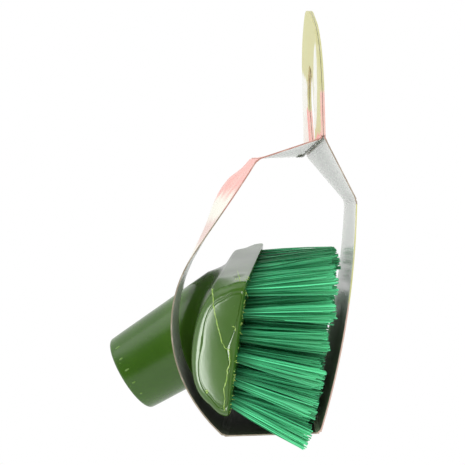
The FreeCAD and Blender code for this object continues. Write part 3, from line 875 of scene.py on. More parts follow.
# %% Turn the socket
_, flat_normal = nearest_on_profile(meeting[:, [0, 2]])
block_normal = np.stack([flat_normal[:, 0], np.zeros(SPOKES), flat_normal[:, 1]], -1)
outward = spokes - np.einsum("ij,ij->i", spokes, block_normal)[:, None] * block_normal
outward /= np.linalg.norm(outward, axis=1)[:, None]


def landed(reach, sink):
    """A point on the block, a reach outwards from the meeting line and sunk a little into it."""
    spot = meeting + outward * reach
    foot, normal = nearest_on_profile(spot[:, [0, 2]])
    foot = foot - normal * sink
    return np.stack([foot[:, 0], spot[:, 1], foot[:, 1]], -1)


corner = np.linspace(0, math.pi / 2, 6)
swing, rise = 1 - np.cos(corner), np.sin(corner)
bore_path = [(BORE_DEPTH, BORE * share) for share in (0.08, 0.5)]
bore_path += zip(BORE_DEPTH - BORE_ROUND * swing, BORE - BORE_ROUND * (1 - rise))
bore_path += [(along, BORE) for along in np.linspace(26, RIM_ROUND, 10)]
bore_path += zip(RIM_ROUND * (1 - rise[1:]), BORE + RIM_ROUND * swing[1:])
bore_path += zip(RIM_ROUND * swing, MOUTH_RADIUS - RIM_ROUND * (1 - rise))
rings = [MOUTH + AXIS * along + spokes * radius for along, radius in bore_path]
wall_end = low - BRIDGE_WALL
wall_run = wall_end - RIM_ROUND
rings += [wall_point(RIM_ROUND + wall_run * share) for share in np.linspace(0.08, 1, 12)]
take_off = wall_point(wall_end)
landing = landed(BRIDGE_BLOCK, 0.0)
rings += [
    (1 - t) ** 2 * take_off + 2 * t * (1 - t) * meeting + t**2 * landing
    for t in np.linspace(0, 1, 12)[1:]
]
rings += [landed(BRIDGE_BLOCK + 1.0, 0.25), landed(BRIDGE_BLOCK - 1.0, 1.5)]
socket_faces = tube_faces(len(rings), SPOKES)
socket = make_piece("handle_socket", set_down(np.stack(rings)), socket_faces, [plastic])
finish_brush_piece(socket)
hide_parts("brush_head")

# %% [markdown]
# ## Flash, burrs and marks of the mould
# Where the two halves of the mould met, a ragged thread of paler plastic was squeezed out. It runs
# from the upper back corner over the end wall and down beside the bristle face. It could be
# painted on, but it stands proud and catches light, so it is a thin tube carried along a wandering
# path that rests on the wall.

# %% Threads of flash
def soft_noise(count, amount, rounds=2):
    """Random steps worn into one another, for a line that wanders."""
    return worn(random.normal(0, amount, count), rounds)


def thread(path, radii, sides=6):
    """A tube: at each point of the path, a ring of its radius square to the way ahead. Two cross
    products give the ring's axes, the first with an axis that the path isn't close to."""
    ahead = np.gradient(path, axis=0)
    ahead /= np.linalg.norm(ahead, axis=1)[:, None]
    reference = np.where(np.abs(ahead[:, 1:2]) < 0.9, SIDEWAYS, ACROSS)
    first = np.cross(ahead, reference)
    first /= np.linalg.norm(first, axis=1)[:, None]
    second = np.cross(ahead, first)
    turn = full_turn(sides)[None, :, None]
    ring = np.cos(turn) * first[:, None] + np.sin(turn) * second[:, None]
    points = path[:, None] + ring * radii[:, None, None]
    return points.reshape(-1, 3), tube_faces(len(path), sides)


def join_meshes(parts):
    """Several (points, faces) as one: each part's corner numbers move up by the points before."""
    points, faces, count = [], [], 0
    for some_points, some_faces in parts:
        points.append(some_points)
        faces += [[number + count for number in face] for face in some_faces]
        count += len(some_points)
    return np.vstack(points), faces


# %% Lay the flash
FLASH_TRACK = [
    (-11.6, 19.8), (-10.4, 15.0), (-9.2, 11.0), (-7.6, 6.3), (-6.2, 3.0),
    (-5.4, 1.6), (-4.4, 0.3), (-2.9, -0.4), (-2.4, -2.4), (-2.1, -5.0),
    (-2.5, -8.0), (-2.4, -11.8), (-2.9, -13.6), (-2.2, -18.0), (-1.9, -22.2),
]
FLASH_STEPS = 150


WALL_OVERLAP = 0.02


def flash_on_wall(track, count, width):
    """The track, shaken sideways, laid on the end wall with a ragged width."""
    shake = np.stack([soft_noise(count, 0.2), soft_noise(count, 0.16)], -1)
    x, z = (even_steps(track, count) + shake).T
    line = np.stack([x, -(BLOCK_HALF + wall_lift(x, z)) - WALL_OVERLAP, z], -1)
    radii = np.clip(width * (1 + soft_noise(count, 0.55)), width * 0.35, None)
    return thread(line, radii)


main_flash = flash_on_wall(FLASH_TRACK, FLASH_STEPS, 0.14)
side_flash = flash_on_wall([(-2.9, 8.1), (-2.2, 8.0), (-1.6, 7.8), (-1.5, 6.6)], 24, 0.13)
smudge = flash_on_wall([(-9.1, -16.1), (-8.6, -15.7), (-8.2, -16.4), (-8.7, -16.9)], 20, 0.22)
flash_points, flash_faces = join_meshes([main_flash, side_flash, smudge])
finish_brush_piece(make_piece("mould_flash", set_down(flash_points), flash_faces, [flash_plastic]))


# %% Burrs round the near holes
def wisps(roots, lengths, width):
    """Little curls of plastic: each starts at a root, sets off in any direction and bends away by
    the square of the way along it."""
    parts = []
    for root, length in zip(roots, lengths):
        steps = np.linspace(0, 1, 6)[:, None]
        heading = random.normal(0, 1, 3)
        heading /= np.linalg.norm(heading)
        bend = random.normal(0, 0.6, 3)
        path = root + length * (steps * heading + steps**2 * bend)
        parts.append(thread(path, width * (1.1 - steps[:, 0]), sides=5))
    return join_meshes(parts)


BURR_COUNT = 46
burr_z = random.uniform(-24.0, 23.5, BURR_COUNT)
burr_x = random.uniform(-0.1, 0.25, BURR_COUNT)
burr_y = random.uniform(-57.5, -53.5, BURR_COUNT)
burr_roots = np.stack([burr_x, burr_y, burr_z], -1)
face_wisps = wisps(burr_roots, random.uniform(0.5, 1.4, BURR_COUNT), 0.15)
TOP_BURRS = 9
TOP_BURR_Z = 23.7
top_x = random.uniform(-5.0, 0.2, TOP_BURRS)
top_y = random.uniform(-57.0, -46.0, TOP_BURRS)
top_roots = np.stack([top_x, top_y, np.full(TOP_BURRS, TOP_BURR_Z)], -1)
top_wisps = wisps(top_roots, random.uniform(0.4, 1.4, TOP_BURRS), 0.14)
burr_points, burr_faces = join_meshes([face_wisps, top_wisps])
finish_brush_piece(make_piece("face_burrs", set_down(burr_points), burr_faces, [flash_plastic]))

# %% [markdown]
# ## Raised marks
# An ejector pin left an oval swelling on the block's upper side, and the mouth of the socket has a
# few raised ticks. Bump in the material would vanish in outline, so both are shapes: a flat dome
# and short spindles.

# %% Marks of the mould
MARK_SPOT = np.array((-3.8, -38.0))
MARK_HALF = np.array((2.3, 6.0))
MARK_HEIGHT = 0.35
TOP_SLOPE = 0.27


def top_side(x):
    """Height of the block's sloping top side at an x."""
    return FACE_TOP[1] + TOP_SLOPE * x


DOME_REACH = (1.0, 1.0, 0.85, 0.6, 0.3, 0.05)
DOME_ROOT = (1.2, 0.0, 0.0, 0.0, 0.0, 0.0)
DOME_SPOKES = 40


def low_dome(spot, half, height):
    """An oval dome: height falls from its middle as 1 - r^2, and its foot is sunk in the block."""
    turn = full_turn(DOME_SPOKES)
    reach, root = np.array((DOME_REACH, DOME_ROOT))[:, :, None]
    x = spot[0] + half[0] * reach * np.cos(turn)
    y = spot[1] + half[1] * reach * np.sin(turn)
    z = top_side(x) + height * (1 - reach**2) - root
    return np.stack([x, y, z], -1).reshape(-1, 3), tube_faces(len(reach), DOME_SPOKES)


mark_points, mark_faces = low_dome(MARK_SPOT, MARK_HALF, MARK_HEIGHT)
finish_brush_piece(make_piece("pin_mark", set_down(mark_points), mark_faces, [plastic]))

# %% Ticks in the socket's mouth
TICK_TURNS = np.radians((-38.0, -58.0, -76.0, -96.0, -116.0))
TICK_LENGTHS = (3.4, 2.6, 3.0, 2.4, 1.8)
TICK_START = 2.2
TICK_RADIUS = 0.5
TICK_SUNK = 0.25


def rim_tick(turn, length):
    """A small spindle of raised plastic along the socket's wall, just inside its mouth."""
    steps = np.linspace(0, 1, 9)
    along = (TICK_START + length * steps)[:, None]
    spoke = math.cos(turn) * ACROSS + math.sin(turn) * SIDEWAYS
    path = MOUTH + AXIS * along + spoke * (MOUTH_RADIUS + TAPER * along - TICK_SUNK)
    return thread(path, TICK_RADIUS * np.clip(np.sin(math.pi * steps), 0.25, 1))


tick_points, tick_faces = join_meshes(map(rim_tick, TICK_TURNS, TICK_LENGTHS))
finish_brush_piece(make_piece("rim_ticks", set_down(tick_points), tick_faces, [pale_plastic]))

# %% [markdown]
# ## Bristles
# Each tuft is a bundle of nearly straight filaments that spread from a hole like a sheaf. Hair
# strands would do for a picture, but they aren't a mesh. So each filament is a tiny rod, of five
# sides and four rings because there are thousands, and a whole row is worked out in one go: rods,
# rings and sides are three axes of one array.

# %% Rows of filaments
ROWS = 6
COLUMNS = 11
PER_TUFT = 46
FILAMENT_RADIUS = 0.26
ROD_RINGS = 4
ROD_SIDES = 5
TUFT_REACH = 31.0
LOWEST_ROW = -20.4
ROW_STEP = 8.0
COLUMN_STEP = 10.3
HOLE_SPREAD = 1.75
ROOT_DEPTH = 1.5
STRAY_SHARE = 0.05
FAN = 0.9
TOP_ROW_BENT, FAR_END_BENT = 5.5, 1.5
PRESSED, PRESSED_BY_ROW, PRESSED_BY_COLUMN = 7.5, 2.2, 2.45
SWAY_BY_Y = 0.09
TIP_SPREAD = 3.7
TIP_SPARE = 0.8


def tuft_lean(row, column):
    """Degrees a tuft leans up. It fans with its row; the top row's far end is bent down by the
    roof, and low tufts inside the sleeve are pressed up by its floor."""
    natural = FAN * (LOWEST_ROW + ROW_STEP * row)
    if row == ROWS - 1:
        natural = natural - TOP_ROW_BENT - FAR_END_BENT * np.clip(column - 7, 0, 3)
    pressed = -(PRESSED - PRESSED_BY_ROW * row) - PRESSED_BY_COLUMN * (column - 1)
    return np.where((column >= 1) & (row <= 2), np.maximum(natural, pressed), natural)


# %% One row as arrays
def row_of_filaments(row):
    """Root on a disc, tip on a larger disc, straight between with a slight bow, square tip. A
    place on a disc is two axes square to the tuft times the cosine and sine of a turn."""
    column = np.repeat(np.arange(COLUMNS), PER_TUFT)
    count = len(column)
    y = (column - (COLUMNS - 1) / 2) * COLUMN_STEP
    z = np.full(count, LOWEST_ROW + ROW_STEP * row)
    askew = random.normal(0, 1.1, (2, COLUMNS))[:, column]
    lean = np.radians(tuft_lean(row, column) + askew[0])
    sway = np.radians(SWAY_BY_Y * y + askew[1])
    nothing = np.zeros(count)
    flat = np.cos(lean)
    along = np.stack([flat * np.cos(sway), flat * np.sin(sway), np.sin(lean)], -1)
    beside = np.stack([-np.sin(sway), np.cos(sway), nothing], -1)
    above = np.cross(along, beside)

    def on_disc(radius, turn):
        """The cosine and sine of a turn, each along its own axis of the tuft."""
        return beside * (radius * np.cos(turn))[:, None] + above * (radius * np.sin(turn))[:, None]

    trim = random.normal(0, 0.7, COLUMNS)[column]
    reach = TUFT_REACH + 0.05 * z + trim - random.gamma(1.5, 1.05, count) + TIP_SPARE
    turn = random.uniform(0, 2 * math.pi, count)
    spread = np.sqrt(random.uniform(0, 1, count))
    stray = random.uniform(0, 1, count) < STRAY_SHARE
    tip_spread = TIP_SPREAD * spread * random.uniform(0.85, 1.1, count)
    tip_spread += stray * random.uniform(0.0, 1.6, count)
    tip_turn = turn + random.normal(0, 0.12, count) + stray * random.normal(0, 0.9, count)
    hole = np.stack([nothing, y, z], -1)
    start = hole + on_disc(HOLE_SPREAD * spread, turn) - along * ROOT_DEPTH
    end = hole + on_disc(tip_spread, tip_turn) + along * reach[:, None]
    share = np.linspace(0, 1, ROD_RINGS)[None, :, None]
    bow = (beside + above) * random.normal(0, 0.25, (count, 1))
    bend = bow[:, None] * 4 * share * (1 - share)
    path = start[:, None] * (1 - share) + end[:, None] * share + bend
    girth = full_turn(ROD_SIDES)[None, None, :, None]
    ring = np.cos(girth) * beside[:, None, None] + np.sin(girth) * above[:, None, None]
    points = path[:, :, None] + ring * FILAMENT_RADIUS
    shade = np.broadcast_to(random.beta(0.8, 0.9, count)[:, None, None], points.shape[:3])
    travel = np.broadcast_to(share, points.shape[:3])
    return points, shade, travel


# %% Plant the rows
def rod_faces(count):
    """One rod's squares and end caps, repeated with a new start number for each rod."""
    one = quads(ROD_RINGS, ROD_SIDES, wrap_columns=True)
    step = np.arange(count)[:, None, None] * (ROD_RINGS * ROD_SIDES)
    cap = np.arange(ROD_SIDES)
    caps = np.stack([cap[::-1], cap + (ROD_RINGS - 1) * ROD_SIDES])
    return (one + step).reshape(-1, 4).tolist() + (caps + step).reshape(-1, ROD_SIDES).tolist()


for row in range(ROWS):
    rods, shade, travel = row_of_filaments(row)
    points = set_down(rods.reshape(-1, 3))
    piece = make_piece(f"filaments_{row + 1}", points, rod_faces(len(rods)), [filament])
    add_attribute(piece, "shade", shade)
    add_attribute(piece, "along", travel)
    finish_brush_piece(piece)
    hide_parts(f"tuft_row_{row + 1}")
    wire = frame["nodes"][f"anchor_row_{row + 1}"]
    wire.data.materials.clear()
    wire.data.materials.append(steel)

# %% [markdown]
# ## The sleeve's panels
# One strip of board is folded six times. Flat plates would do for most of it, but the back wraps
# the brush and the front bulges. So each panel is a sheet between two fold lines, written as a
# function of y and of the share of the way from one fold to the next. Moving the sheet half its
# thickness along its normal, both ways, gives its two faces.

# %% Fold lines
folds = {joint["name"]: joint for joint in frame["joints"]}
BOARD = 0.5
FOLD_GAP = 0.45
SLEEVE_HALF = 47.0


def fold_line(name, y):
    """The point of a fold line at y: the hinge's own point, slid along its axis."""
    spot = np.array(folds[name]["pos_m"]) / MM
    axis = np.array(folds[name]["axis"])
    y = np.asarray(y, float)[..., None]
    return spot + axis * (y - spot[1]) / axis[1]


def unit(vectors):
    """Each vector divided by its length."""
    return vectors / np.linalg.norm(vectors, axis=-1, keepdims=True)


print("board", BOARD, "mm thick, folds", sorted(folds))


# %% Flat, wrapped and bowed sheets
def flat_sheet(first, last):
    """Straight from one fold line to the next: the start plus a share of the way."""

    def surface(y, share):
        """A point of the sheet."""
        start, end = fold_line(first, y), fold_line(last, y)
        return start + (end - start) * share[..., None]

    return surface


BULGE = 3.0
MIDDLE_BULGE = 1.5
WRAP_RADIUS = 50.0
WRAP_SLOPE = math.radians(31.5)


def back_sheet(y, share):
    """Straight down from the shoulder at a set slope, then on a circle round to the heel."""
    start, end = fold_line("shoulder_fold", y), fold_line("heel_fold", y)
    down = np.array((-math.sin(WRAP_SLOPE), 0, -math.cos(WRAP_SLOPE)))
    inward = np.array((math.cos(WRAP_SLOPE), 0, -math.sin(WRAP_SLOPE)))
    offset = start + inward * WRAP_RADIUS
    to_end = end - offset
    ahead = to_end @ down
    run = ahead - np.sqrt(ahead**2 - np.einsum("...i,...i->...", to_end, to_end) + WRAP_RADIUS**2)
    centre = offset + down * run[..., None]
    spoke = unit(end - centre)
    sweep = np.arccos(np.clip(-(spoke @ inward), -1, 1))
    length = share * (run + WRAP_RADIUS * sweep)
    turned = np.clip(length - run, 0, None) / WRAP_RADIUS
    straight = np.minimum(length, run)
    arc = -inward * np.cos(turned)[..., None] + down * np.sin(turned)[..., None]
    level = start + down * straight[..., None]
    return np.where((length > run)[..., None], centre + arc * WRAP_RADIUS, level)


def front_sheet(y, share):
    """An arc from toe to brow that bulges outwards, a little more half way along y."""
    start, end = fold_line("toe_fold", y), fold_line("brow_fold", y)
    bow = BULGE + MIDDLE_BULGE * (1 - (y / SLEEVE_HALF) ** 2)
    chord = np.linalg.norm(end - start, axis=-1)
    ahead = unit(end - start)
    out = np.stack([ahead[..., 2], np.zeros_like(y), -ahead[..., 0]], -1)
    radius = (chord**2 / 4 + bow**2) / (2 * bow)
    half = np.arcsin(chord / 2 / radius)
    turn = (2 * share - 1) * half
    middle = (start + end) / 2
    side = (radius * np.sin(turn))[..., None] * ahead
    rise = (radius * np.cos(turn) - radius + bow)[..., None] * out
    return middle + side + rise


print("front bulges", BULGE, "to", BULGE + MIDDLE_BULGE, "mm")

# %% Sheets with thickness
NUDGE = 1e-3


def sheet_normal(surface, y, share):
    """Outward normal: the step along y crossed with the step along the strip."""
    along_y = surface(y + NUDGE, share) - surface(y - NUDGE, share)
    along_strip = surface(y, share + NUDGE) - surface(y, share - NUDGE)
    return unit(np.cross(along_y, along_strip))


HALF_BOARD = BOARD / 2


def board_piece(name, surface, y, share, finishes, body=None, wrap=False, half=HALF_BOARD, extra=0):
    """A closed board from a grid of (y, share): the sheet, pushed out by extra, then moved half
    its thickness both ways, with walls of squares round its borders. finishes are outer face,
    inner face, cut edge."""
    normal = sheet_normal(surface, y, share)
    middle = surface(y, share) + normal * np.asarray(extra)[..., None]
    points = np.concatenate([(middle + side * half * normal).reshape(-1, 3) for side in (1, -1)])
    top = quads(*y.shape, wrap_rows=wrap)
    numbers = np.arange(y.size).reshape(y.shape)
    if wrap:
        loops = [numbers[:, 0], numbers[::-1, -1]]
    else:
        sides = [numbers[:, 0], numbers[-1, 1:], numbers[-2::-1, -1], numbers[0, -2:0:-1]]
        loops = [np.concatenate(sides)]
    rims = [(loop, np.roll(loop, -1)) for loop in loops]
    walls = [np.stack([here + y.size, ahead + y.size, ahead, here], -1) for here, ahead in rims]
    walls = np.concatenate(walls)
    faces = np.concatenate([top, top[:, ::-1] + y.size, walls])
    kinds = np.repeat([0, 1, 2], [len(top), len(top), len(walls)])
    piece = make_piece(name, points, faces.tolist(), finishes, kinds)
    if body:
        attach(piece, body)
    return piece


def panel_width(first, last):
    """The length of the step from one fold line to the next, half way along y."""
    return np.linalg.norm(fold_line(first, 0.0) - fold_line(last, 0.0))


def strip_grid(first, last, y_count, share_count):
    """Grid over a panel that stops the fold gap short of both its fold lines."""
    margin = FOLD_GAP / panel_width(first, last)
    y = np.linspace(-SLEEVE_HALF, SLEEVE_HALF, y_count)
    share = np.linspace(margin, 1 - margin, share_count)
    return np.meshgrid(y, share, indexing="ij")


print("panels stop", FOLD_GAP, "mm short of their folds")

# %% Cut the plain panels
PANEL_STEPS = 60
PANEL_FOLDS = {
    "back_roof": ("back_roof_fold", "shoulder_fold"),
    "front_roof": ("brow_fold", "header_front_fold"),
    "floor": ("heel_fold", "toe_fold"),
    "front": ("toe_fold", "brow_fold"),
}
sheets = {body: flat_sheet(*ends) for body, ends in PANEL_FOLDS.items()}
sheets["front"] = front_sheet
sheets["back"] = back_sheet
for body, share_steps, finishes in (
    ("back_roof", 20, [print_roof, board_inside, board_cut]),
    ("front_roof", 20, [print_front, board_inside, roof_cut]),
    ("floor", 24, [print_floor, board_inside, board_cut]),
    ("front", 60, [print_front, front_inside, front_cut]),
):
    y, share = strip_grid(*PANEL_FOLDS[body], PANEL_STEPS, share_steps)
    board = board_piece(f"{body}_board", sheets[body], y, share, finishes, body)
    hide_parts(f"{body}_panel")

# %% [markdown]
# ## The back panel and its hole
# The socket comes out through a hole in the back panel. A boolean would cut it, but leaves slivers
# round the rim. A grid with a hole is a ring instead: each spoke runs from the hole's rim to the
# panel's border. The rim is where the distance to the socket's axis is the socket's radius plus a
# clearance, found on every spoke at once by halving.


# %% Ring grids
def border_reach(border, centre, angles):
    """Distance from a centre to a border polygon along each angle, between its dense points."""
    spoke = border - centre
    bearing = np.arctan2(spoke[:, 1], spoke[:, 0])
    order = np.argsort(bearing)
    return np.interp(angles, bearing[order], np.linalg.norm(spoke, axis=1)[order], period=2 * math.pi)


def ring_grid(border, centre, rim_reach, corners, spokes_count, rings_count):
    """Flat grid from a rim to a border: spokes at even angles and one through each corner."""
    away = np.asarray(corners) - centre
    even = np.linspace(-math.pi, math.pi, spokes_count, endpoint=False)
    angles = np.sort(np.concatenate([even, np.arctan2(away[:, 1], away[:, 0])]))
    rim = rim_reach(angles)[:, None]
    edge = border_reach(border, centre, angles)[:, None]
    share = np.linspace(0, 1, rings_count)[None, :]
    reach = rim + (edge - rim) * share
    return centre[0] + reach * np.cos(angles)[:, None], centre[1] + reach * np.sin(angles)[:, None]


def dense_polygon(corners, steps):
    """A polygon as many points, the same number along each side."""
    closed = np.vstack([corners, corners[:1]])
    sides = [np.linspace(a, b, steps, endpoint=False) for a, b in zip(closed, closed[1:])]
    return np.vstack(sides)



# %% Cut the back panel
BACK_HEIGHT = 110.0
NECK_RADIUS = 18.3
NECK_LIFT = 5.0
LONGEST_REACH = 46.0
axis_spot = set_down(MOUTH)
axis_ahead = BRUSH_TURN @ AXIS


def axis_gap(points):
    """Distance to the socket's axis, or to its copy lifted by up to the neck lift."""
    lifts = np.linspace(0, NECK_LIFT, 6)
    away = points[..., None, :] - axis_spot - lifts[:, None] * np.array((0.0, 0.0, 1.0))
    square = away - (away @ axis_ahead)[..., None] * axis_ahead
    return np.linalg.norm(square, axis=-1).min(-1)


def back_place(y, height):
    """The back's sheet by the length down it in mm, not by a share."""
    return back_sheet(y, height / BACK_HEIGHT)


probes = np.linspace(-20, 30, 101), np.linspace(20, 105, 171)
probe_y, probe_height = np.meshgrid(*probes, indexing="ij")
deepest = np.argmin(axis_gap(back_place(probe_y, probe_height)))
hole_centre = np.array((probe_y.flat[deepest], probe_height.flat[deepest]))
print("hole centre", hole_centre)


def hole_reach(angles):
    """Halving: the reach along each angle at which the gap is the neck's radius."""
    near, far = np.zeros(len(angles)), np.full(len(angles), LONGEST_REACH)
    for _ in range(30):
        half_way = (near + far) / 2
        y = hole_centre[0] + half_way * np.cos(angles)
        height = hole_centre[1] + half_way * np.sin(angles)
        inside = axis_gap(back_place(y, height)) < NECK_RADIUS
        near, far = np.where(inside, half_way, near), np.where(inside, far, half_way)
    return near


# %% Ring round the hole
back_top, back_bottom = FOLD_GAP, BACK_HEIGHT - FOLD_GAP
back_corners = np.array(
    [
        (-SLEEVE_HALF, back_top),
        (SLEEVE_HALF, back_top),
        (SLEEVE_HALF, back_bottom),
        (-SLEEVE_HALF, back_bottom),
    ]
)
back_border = dense_polygon(back_corners, 400)
ring_y, ring_height = ring_grid(back_border, hole_centre, hole_reach, back_corners, 300, 40)

# %% Spring the back panel
NEAR_SPRING = 2.0
NEAR_RUN = 22.0
UPPER_SPRING = 4.0
UPPER_HEIGHT = 17.0
UPPER_RUN = 15.0
near_edge = np.exp(-(((ring_y + SLEEVE_HALF) / NEAR_RUN) ** 2))
sprung = NEAR_SPRING * near_edge * np.sin(math.pi * ring_height / BACK_HEIGHT) ** 2
upper = np.exp(-(((ring_height - UPPER_HEIGHT) / UPPER_RUN) ** 2))
upper *= smooth_step(ring_height, 0.0, 12.0)
sprung += UPPER_SPRING * smooth_step(ring_y, -SLEEVE_HALF, 30.0) * upper
back_looks = [print_back, board_inside, board_cut]
back_ring = "back_board", back_place, ring_y, ring_height, back_looks, "back"
back_board = board_piece(*back_ring, wrap=True, extra=sprung)
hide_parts("back_panel")

# %% [markdown]
# ## Creases
# At a fold the board bends over a scored line. Leaving the panels to meet would open a gap as they
# turn, so a narrow strip crosses each fold. Across it runs a quadratic Bezier from panel to panel,
# with the fold line as its middle point.

# %% Creases
CREASE_REACH = 1.7
CREASE_GRID = np.linspace(-SLEEVE_HALF, SLEEVE_HALF, 80), np.linspace(0, 1, 15)
CREASE_HALF = HALF_BOARD + 0.03
BLEND_REACH = 0.7


def crease_piece(name, fold, before, after, finishes, bodies):
    """A strip that bends from the line where one panel ends to the line where the next starts,
    lightly crumpled, with a low ridge along the score. Both lines are functions of y."""

    def surface(y, share):
        """The Bezier's three points, weighed by the share across."""
        t = share[..., None]
        return (1 - t) ** 2 * before(y) + 2 * t * (1 - t) * fold_line(fold, y) + t**2 * after(y)

    y, share = np.meshgrid(*CREASE_GRID, indexing="ij")
    crumple = 0.05 * np.sin(y * 1.7 + share * 4) * np.sin(math.pi * share)
    ridge = -0.1 * np.exp(-(((share - 0.5) / 0.12) ** 2))
    relief = crumple + ridge
    piece = board_piece(name, surface, y, share, finishes, half=CREASE_HALF, extra=relief)
    centre = np.zeros(1)
    middle = fold_line(fold, centre)[0]
    start = middle + unit(before(centre)[0] - middle) * BLEND_REACH
    end = middle + unit(after(centre)[0] - middle) * BLEND_REACH
    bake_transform(piece)


# %% Bend the four sleeve creases
crease_shares = {body: CREASE_REACH / panel_width(*ends) for body, ends in PANEL_FOLDS.items()}
crease_shares["back"] = CREASE_REACH / BACK_HEIGHT


def panel_line(body, share):
    """The line across a panel at one share of its width, as a function of y."""
    return lambda y: sheets[body](y, np.full_like(y, share))


def panel_start(body):
    """The line just inside a panel's first fold, as a function of y."""
    return panel_line(body, crease_shares[body])


def panel_end(body):
    """The line just inside a panel's last fold, as a function of y."""
    return panel_line(body, 1 - crease_shares[body])


for name, *bodies in (
    ("shoulder", "back_roof", "back"),
    ("heel", "back", "floor"),
    ("toe", "floor", "front"),
    ("brow", "front", "front_roof"),
):
    lines = panel_end(bodies[0]), panel_start(bodies[1])
    crease_piece(f"{name}_crease", f"{name}_fold", *lines, crease_looks[name], bodies)

# %% [markdown]
# ## Dried glue
# The top fold was stuck, and some glue squeezed out underneath. It is a ragged bead, so it is made
# as the flash was: a thin tube along a path that lies on the inside of the back roof.

# %% Dried glue under the top fold
GLUE_STEPS = 60
GLUE_LIFT = 0.1
GLUE_THINNEST = 0.12


def glue_bead(y_ends, share_ends, width):
    """A ragged bead along the inside of the back roof, from one (y, share) to another."""
    roof = sheets["back_roof"]
    y = np.linspace(*y_ends, GLUE_STEPS)
    share = np.linspace(*share_ends, GLUE_STEPS) + soft_noise(GLUE_STEPS, 0.012)
    path = roof(y, share) - sheet_normal(roof, y, share) * (HALF_BOARD + GLUE_LIFT)
    ragged = width * (1 + soft_noise(GLUE_STEPS, 0.8))
    return thread(path, np.clip(ragged, GLUE_THINNEST, None))


long_bead = glue_bead((-46, 46), (0.055, 0.06), 0.35)
short_bead = glue_bead((30, 45), (0.1, 0.15), 0.45)
glue_points, glue_faces = join_meshes([long_bead, short_bead])
glue = make_piece("glue_line", glue_points, glue_faces, [dried_glue])
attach(glue, "back_roof")

# %% [markdown]
# ## The hang header
# Two leaves stand back to back on the top fold, each with the same arched outline and the same
# slot for a hook or a hand. Each could be cut from a plate, but the ring grid of the back panel
# serves again, from the slot's rim to the outline. Both are polygons with an arc in each corner.


# %% Leaf outlines
def rounded(corners, radii, steps=24):
    """A polygon with an arc in each corner: the arc starts and ends where its circle touches."""
    corners = np.asarray(corners, float)
    parts = []
    for number, radius in enumerate(radii):
        here, back = corners[number], corners[number - 1]
        ahead = corners[(number + 1) % len(corners)]
        to_back, to_ahead = unit(back - here), unit(ahead - here)
        half = math.acos(np.clip(to_back @ to_ahead, -1, 1)) / 2
        if radius == 0:
            parts.append(here[None])
            continue
        first = here + to_back * radius / math.tan(half)
        centre = here + unit(to_back + to_ahead) * radius / math.sin(half)
        last = here + to_ahead * radius / math.tan(half)
        start = math.atan2(*(first - centre)[::-1])
        turn = np.unwrap([start, math.atan2(*(last - centre)[::-1])])
        angle = np.linspace(turn[0], turn[1], steps)
        parts.append(centre + radius * np.stack([np.cos(angle), np.sin(angle)], -1))
    return np.vstack(parts)


LEAF_FOOT = 0.9
LEAF_FEET = [(-47, LEAF_FOOT), (47, LEAF_FOOT)]
LEAF_ARCH = [(47, 45.8), (17, 58.4), (-4, 54), (-30, 43), (-47, 28)]
SLOT_CORNERS = [(-19, 2), (4, 2), (20, 25), (1, 33.6), (-12, 29)]
leaf_border = dense_polygon(rounded(LEAF_FEET + LEAF_ARCH, [0, 0, 24, 30, 60, 50, 30]), 60)
slot_border = dense_polygon(rounded(SLOT_CORNERS, [2, 2, 8, 8, 8]), 60)
slot_centre = np.array((2.0, 19.0))
LEAF_LEAN = math.radians(1.6)
LEAF_HALF = 0.36


def slot_reach(angles):
    """Distance from the slot's centre to its rim along each angle."""
    return border_reach(slot_border, slot_centre, angles)


def leaf_sheet(fold):
    """Upright from the top fold and leaning back; height is measured up the leaf."""
    foot = np.array(folds[fold]["pos_m"]) / MM

    def surface(y, height):
        """A point of the leaf."""
        across = foot[0] - height * math.sin(LEAF_LEAN)
        return np.stack([across, y, foot[2] + height * math.cos(LEAF_LEAN)], -1)

    return surface


leaf_grid = ring_grid(leaf_border, slot_centre, slot_reach, LEAF_FEET, 360, 16)
print("leaf grid", leaf_grid[0].shape)

# %% [markdown]
# ## The header's print
# The header is printed yellow-green above and on the near side, cream below, with pink along the
# slot and the fold and one long pale patch. Each area is a mask made from the piece's own y and z:
# a straight border is a sum of the two, and the patch is an ellipse that leans with height.


# %% Header print
PATCH_Y, PATCH_Z = -0.026, -0.012
PATCH_SLANT = 0.25
PATCH_TALL, PATCH_NARROW = 62.0, 110.0
WANDER = 0.006
CREAM_SLANT, SHELF_SLANT = -0.33, 0.55
CREAM_BELOW = -0.0085, -0.0115
FAR_SIDE = 0.001, 0.002
SLOT_SIDE = 0.031, 0.029
PINK_BELOW = -0.0135, -0.0165
PINK_FOOT = -0.0295, -0.0315


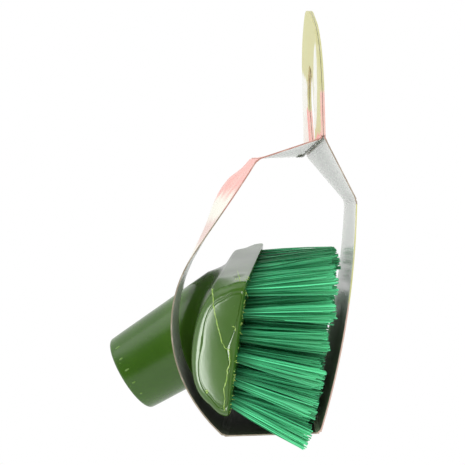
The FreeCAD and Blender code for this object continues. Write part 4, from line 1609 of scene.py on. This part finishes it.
def make_header_print():
    """Yellow-green at the top and near side; cream on the lower far side with a pink border at
    the slot and the fold; one long cream patch on the near side. Every border is in metres."""
    material, tree, shader = coat_board("header_print", 0.4)
    axes = object_axes(tree)
    y, z = axes["Y"], axes["Z"]

    def add(first, second):
        """The sum of two numbers or sockets."""
        return add_math(tree, "ADD", first, second)

    def times(first, second):
        """The product of two numbers or sockets."""
        return add_math(tree, "MULTIPLY", first, second)

    wander = times(add_math(tree, "SUBTRACT", add_noise(tree, 120.0, 3.0), 0.5), WANDER)
    low_z = add(z, wander)
    cream = span(tree, add(add(z, times(y, CREAM_SLANT)), wander), *CREAM_BELOW)
    far_side = span(tree, y, *FAR_SIDE)
    mottle = place_group(tree, blotch_group, Scale=170.0, Cover=0.35, Softness=0.14)
    cream_colour = mix_colours(tree, mottle, srgb(238, 241, 232), srgb(212, 217, 206))
    tint = place_group(tree, blotch_group, Scale=70.0, Cover=0.4, Softness=0.3)
    leaf = mix_colours(tree, tint, YELLOW_GREEN, srgb(204, 206, 140))
    colour = mix_colours(tree, times(cream, far_side), leaf, cream_colour)
    shelf = add_math(tree, "SUBTRACT", y, times(z, SHELF_SLANT))
    by_slot = span(tree, add(shelf, wander), *SLOT_SIDE)
    pink = times(times(by_slot, span(tree, low_z, *PINK_BELOW)), far_side)
    pink = add_math(tree, "MAXIMUM", pink, span(tree, low_z, *PINK_FOOT))
    colour = mix_colours(tree, pink, colour, srgb(240, 158, 146))
    above = add(z, -PATCH_Z)
    aside = add(add(y, -PATCH_Y), times(above, PATCH_SLANT))
    tall = add_math(tree, "POWER", times(above, PATCH_TALL), 2.0)
    reach = add(tall, add_math(tree, "POWER", times(aside, PATCH_NARROW), 2.0))
    patch = span(tree, add(reach, times(wander, 60.0)), 1.1, 0.85)
    add_colour(tree, shader, mix_colours(tree, patch, colour, cream_colour))
    return material


header_print = make_header_print()
print(header_print.name, "has", len(header_print.node_tree.nodes), "nodes")

# %% Cut the leaves
leaf_looks = {
    "back": [board_inside, header_print, header_cut],
    "front": [header_print, board_inside, header_cut],
}
leaf_folds = {"back": "back_roof_fold", "front": "header_front_fold"}
for side, fold in leaf_folds.items():
    leaf_place = f"header_{side}_board", leaf_sheet(fold), *leaf_grid, leaf_looks[side]
    leaf = board_piece(*leaf_place, f"header_{side}", wrap=True, half=LEAF_HALF)
    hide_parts(f"header_{side}_leaf")


# %% Creases at the top fold
def leaf_foot(fold):
    """The line across a leaf at the crease's reach, as a function of y."""
    sheet = leaf_sheet(fold)
    return lambda y: sheet(y, np.full_like(y, CREASE_REACH))


back_lines = leaf_foot("back_roof_fold"), panel_start("back_roof")
front_lines = panel_end("front_roof"), leaf_foot("header_front_fold")
for side, lines, bodies in (
    ("back", back_lines, ("header_back", "back_roof")),
    ("front", front_lines, ("front_roof", "header_front")),
):
    name = f"header_{side}_crease"
    crease_piece(name, leaf_folds[side], *lines, crease_looks["apex"], bodies)

# %% [markdown]
# ## The floor of the room
# The sleeve hangs, so the floor is well below it. It is plain and pale, a wide disc whose edge is
# out of the way, and it belongs to the room and not to the object.

# %% Floor
FLOOR_RADIUS = 1.2
FLOOR_Z = -0.5
floor_material, _, floor_shader = new_material("studio_floor", 0.9)
floor_shader.inputs["Base Color"].default_value = (0.9, 0.9, 0.9, 1.0)
disc = {"vertices": 96, "radius": FLOOR_RADIUS, "fill_type": "NGON"}
bpy.ops.mesh.primitive_circle_add(location=(0, 0, FLOOR_Z), **disc)
floor = bpy.context.object
floor.name = "studio_floor"
floor.data.materials.append(floor_material)
print("floor at", FLOOR_Z, "m")
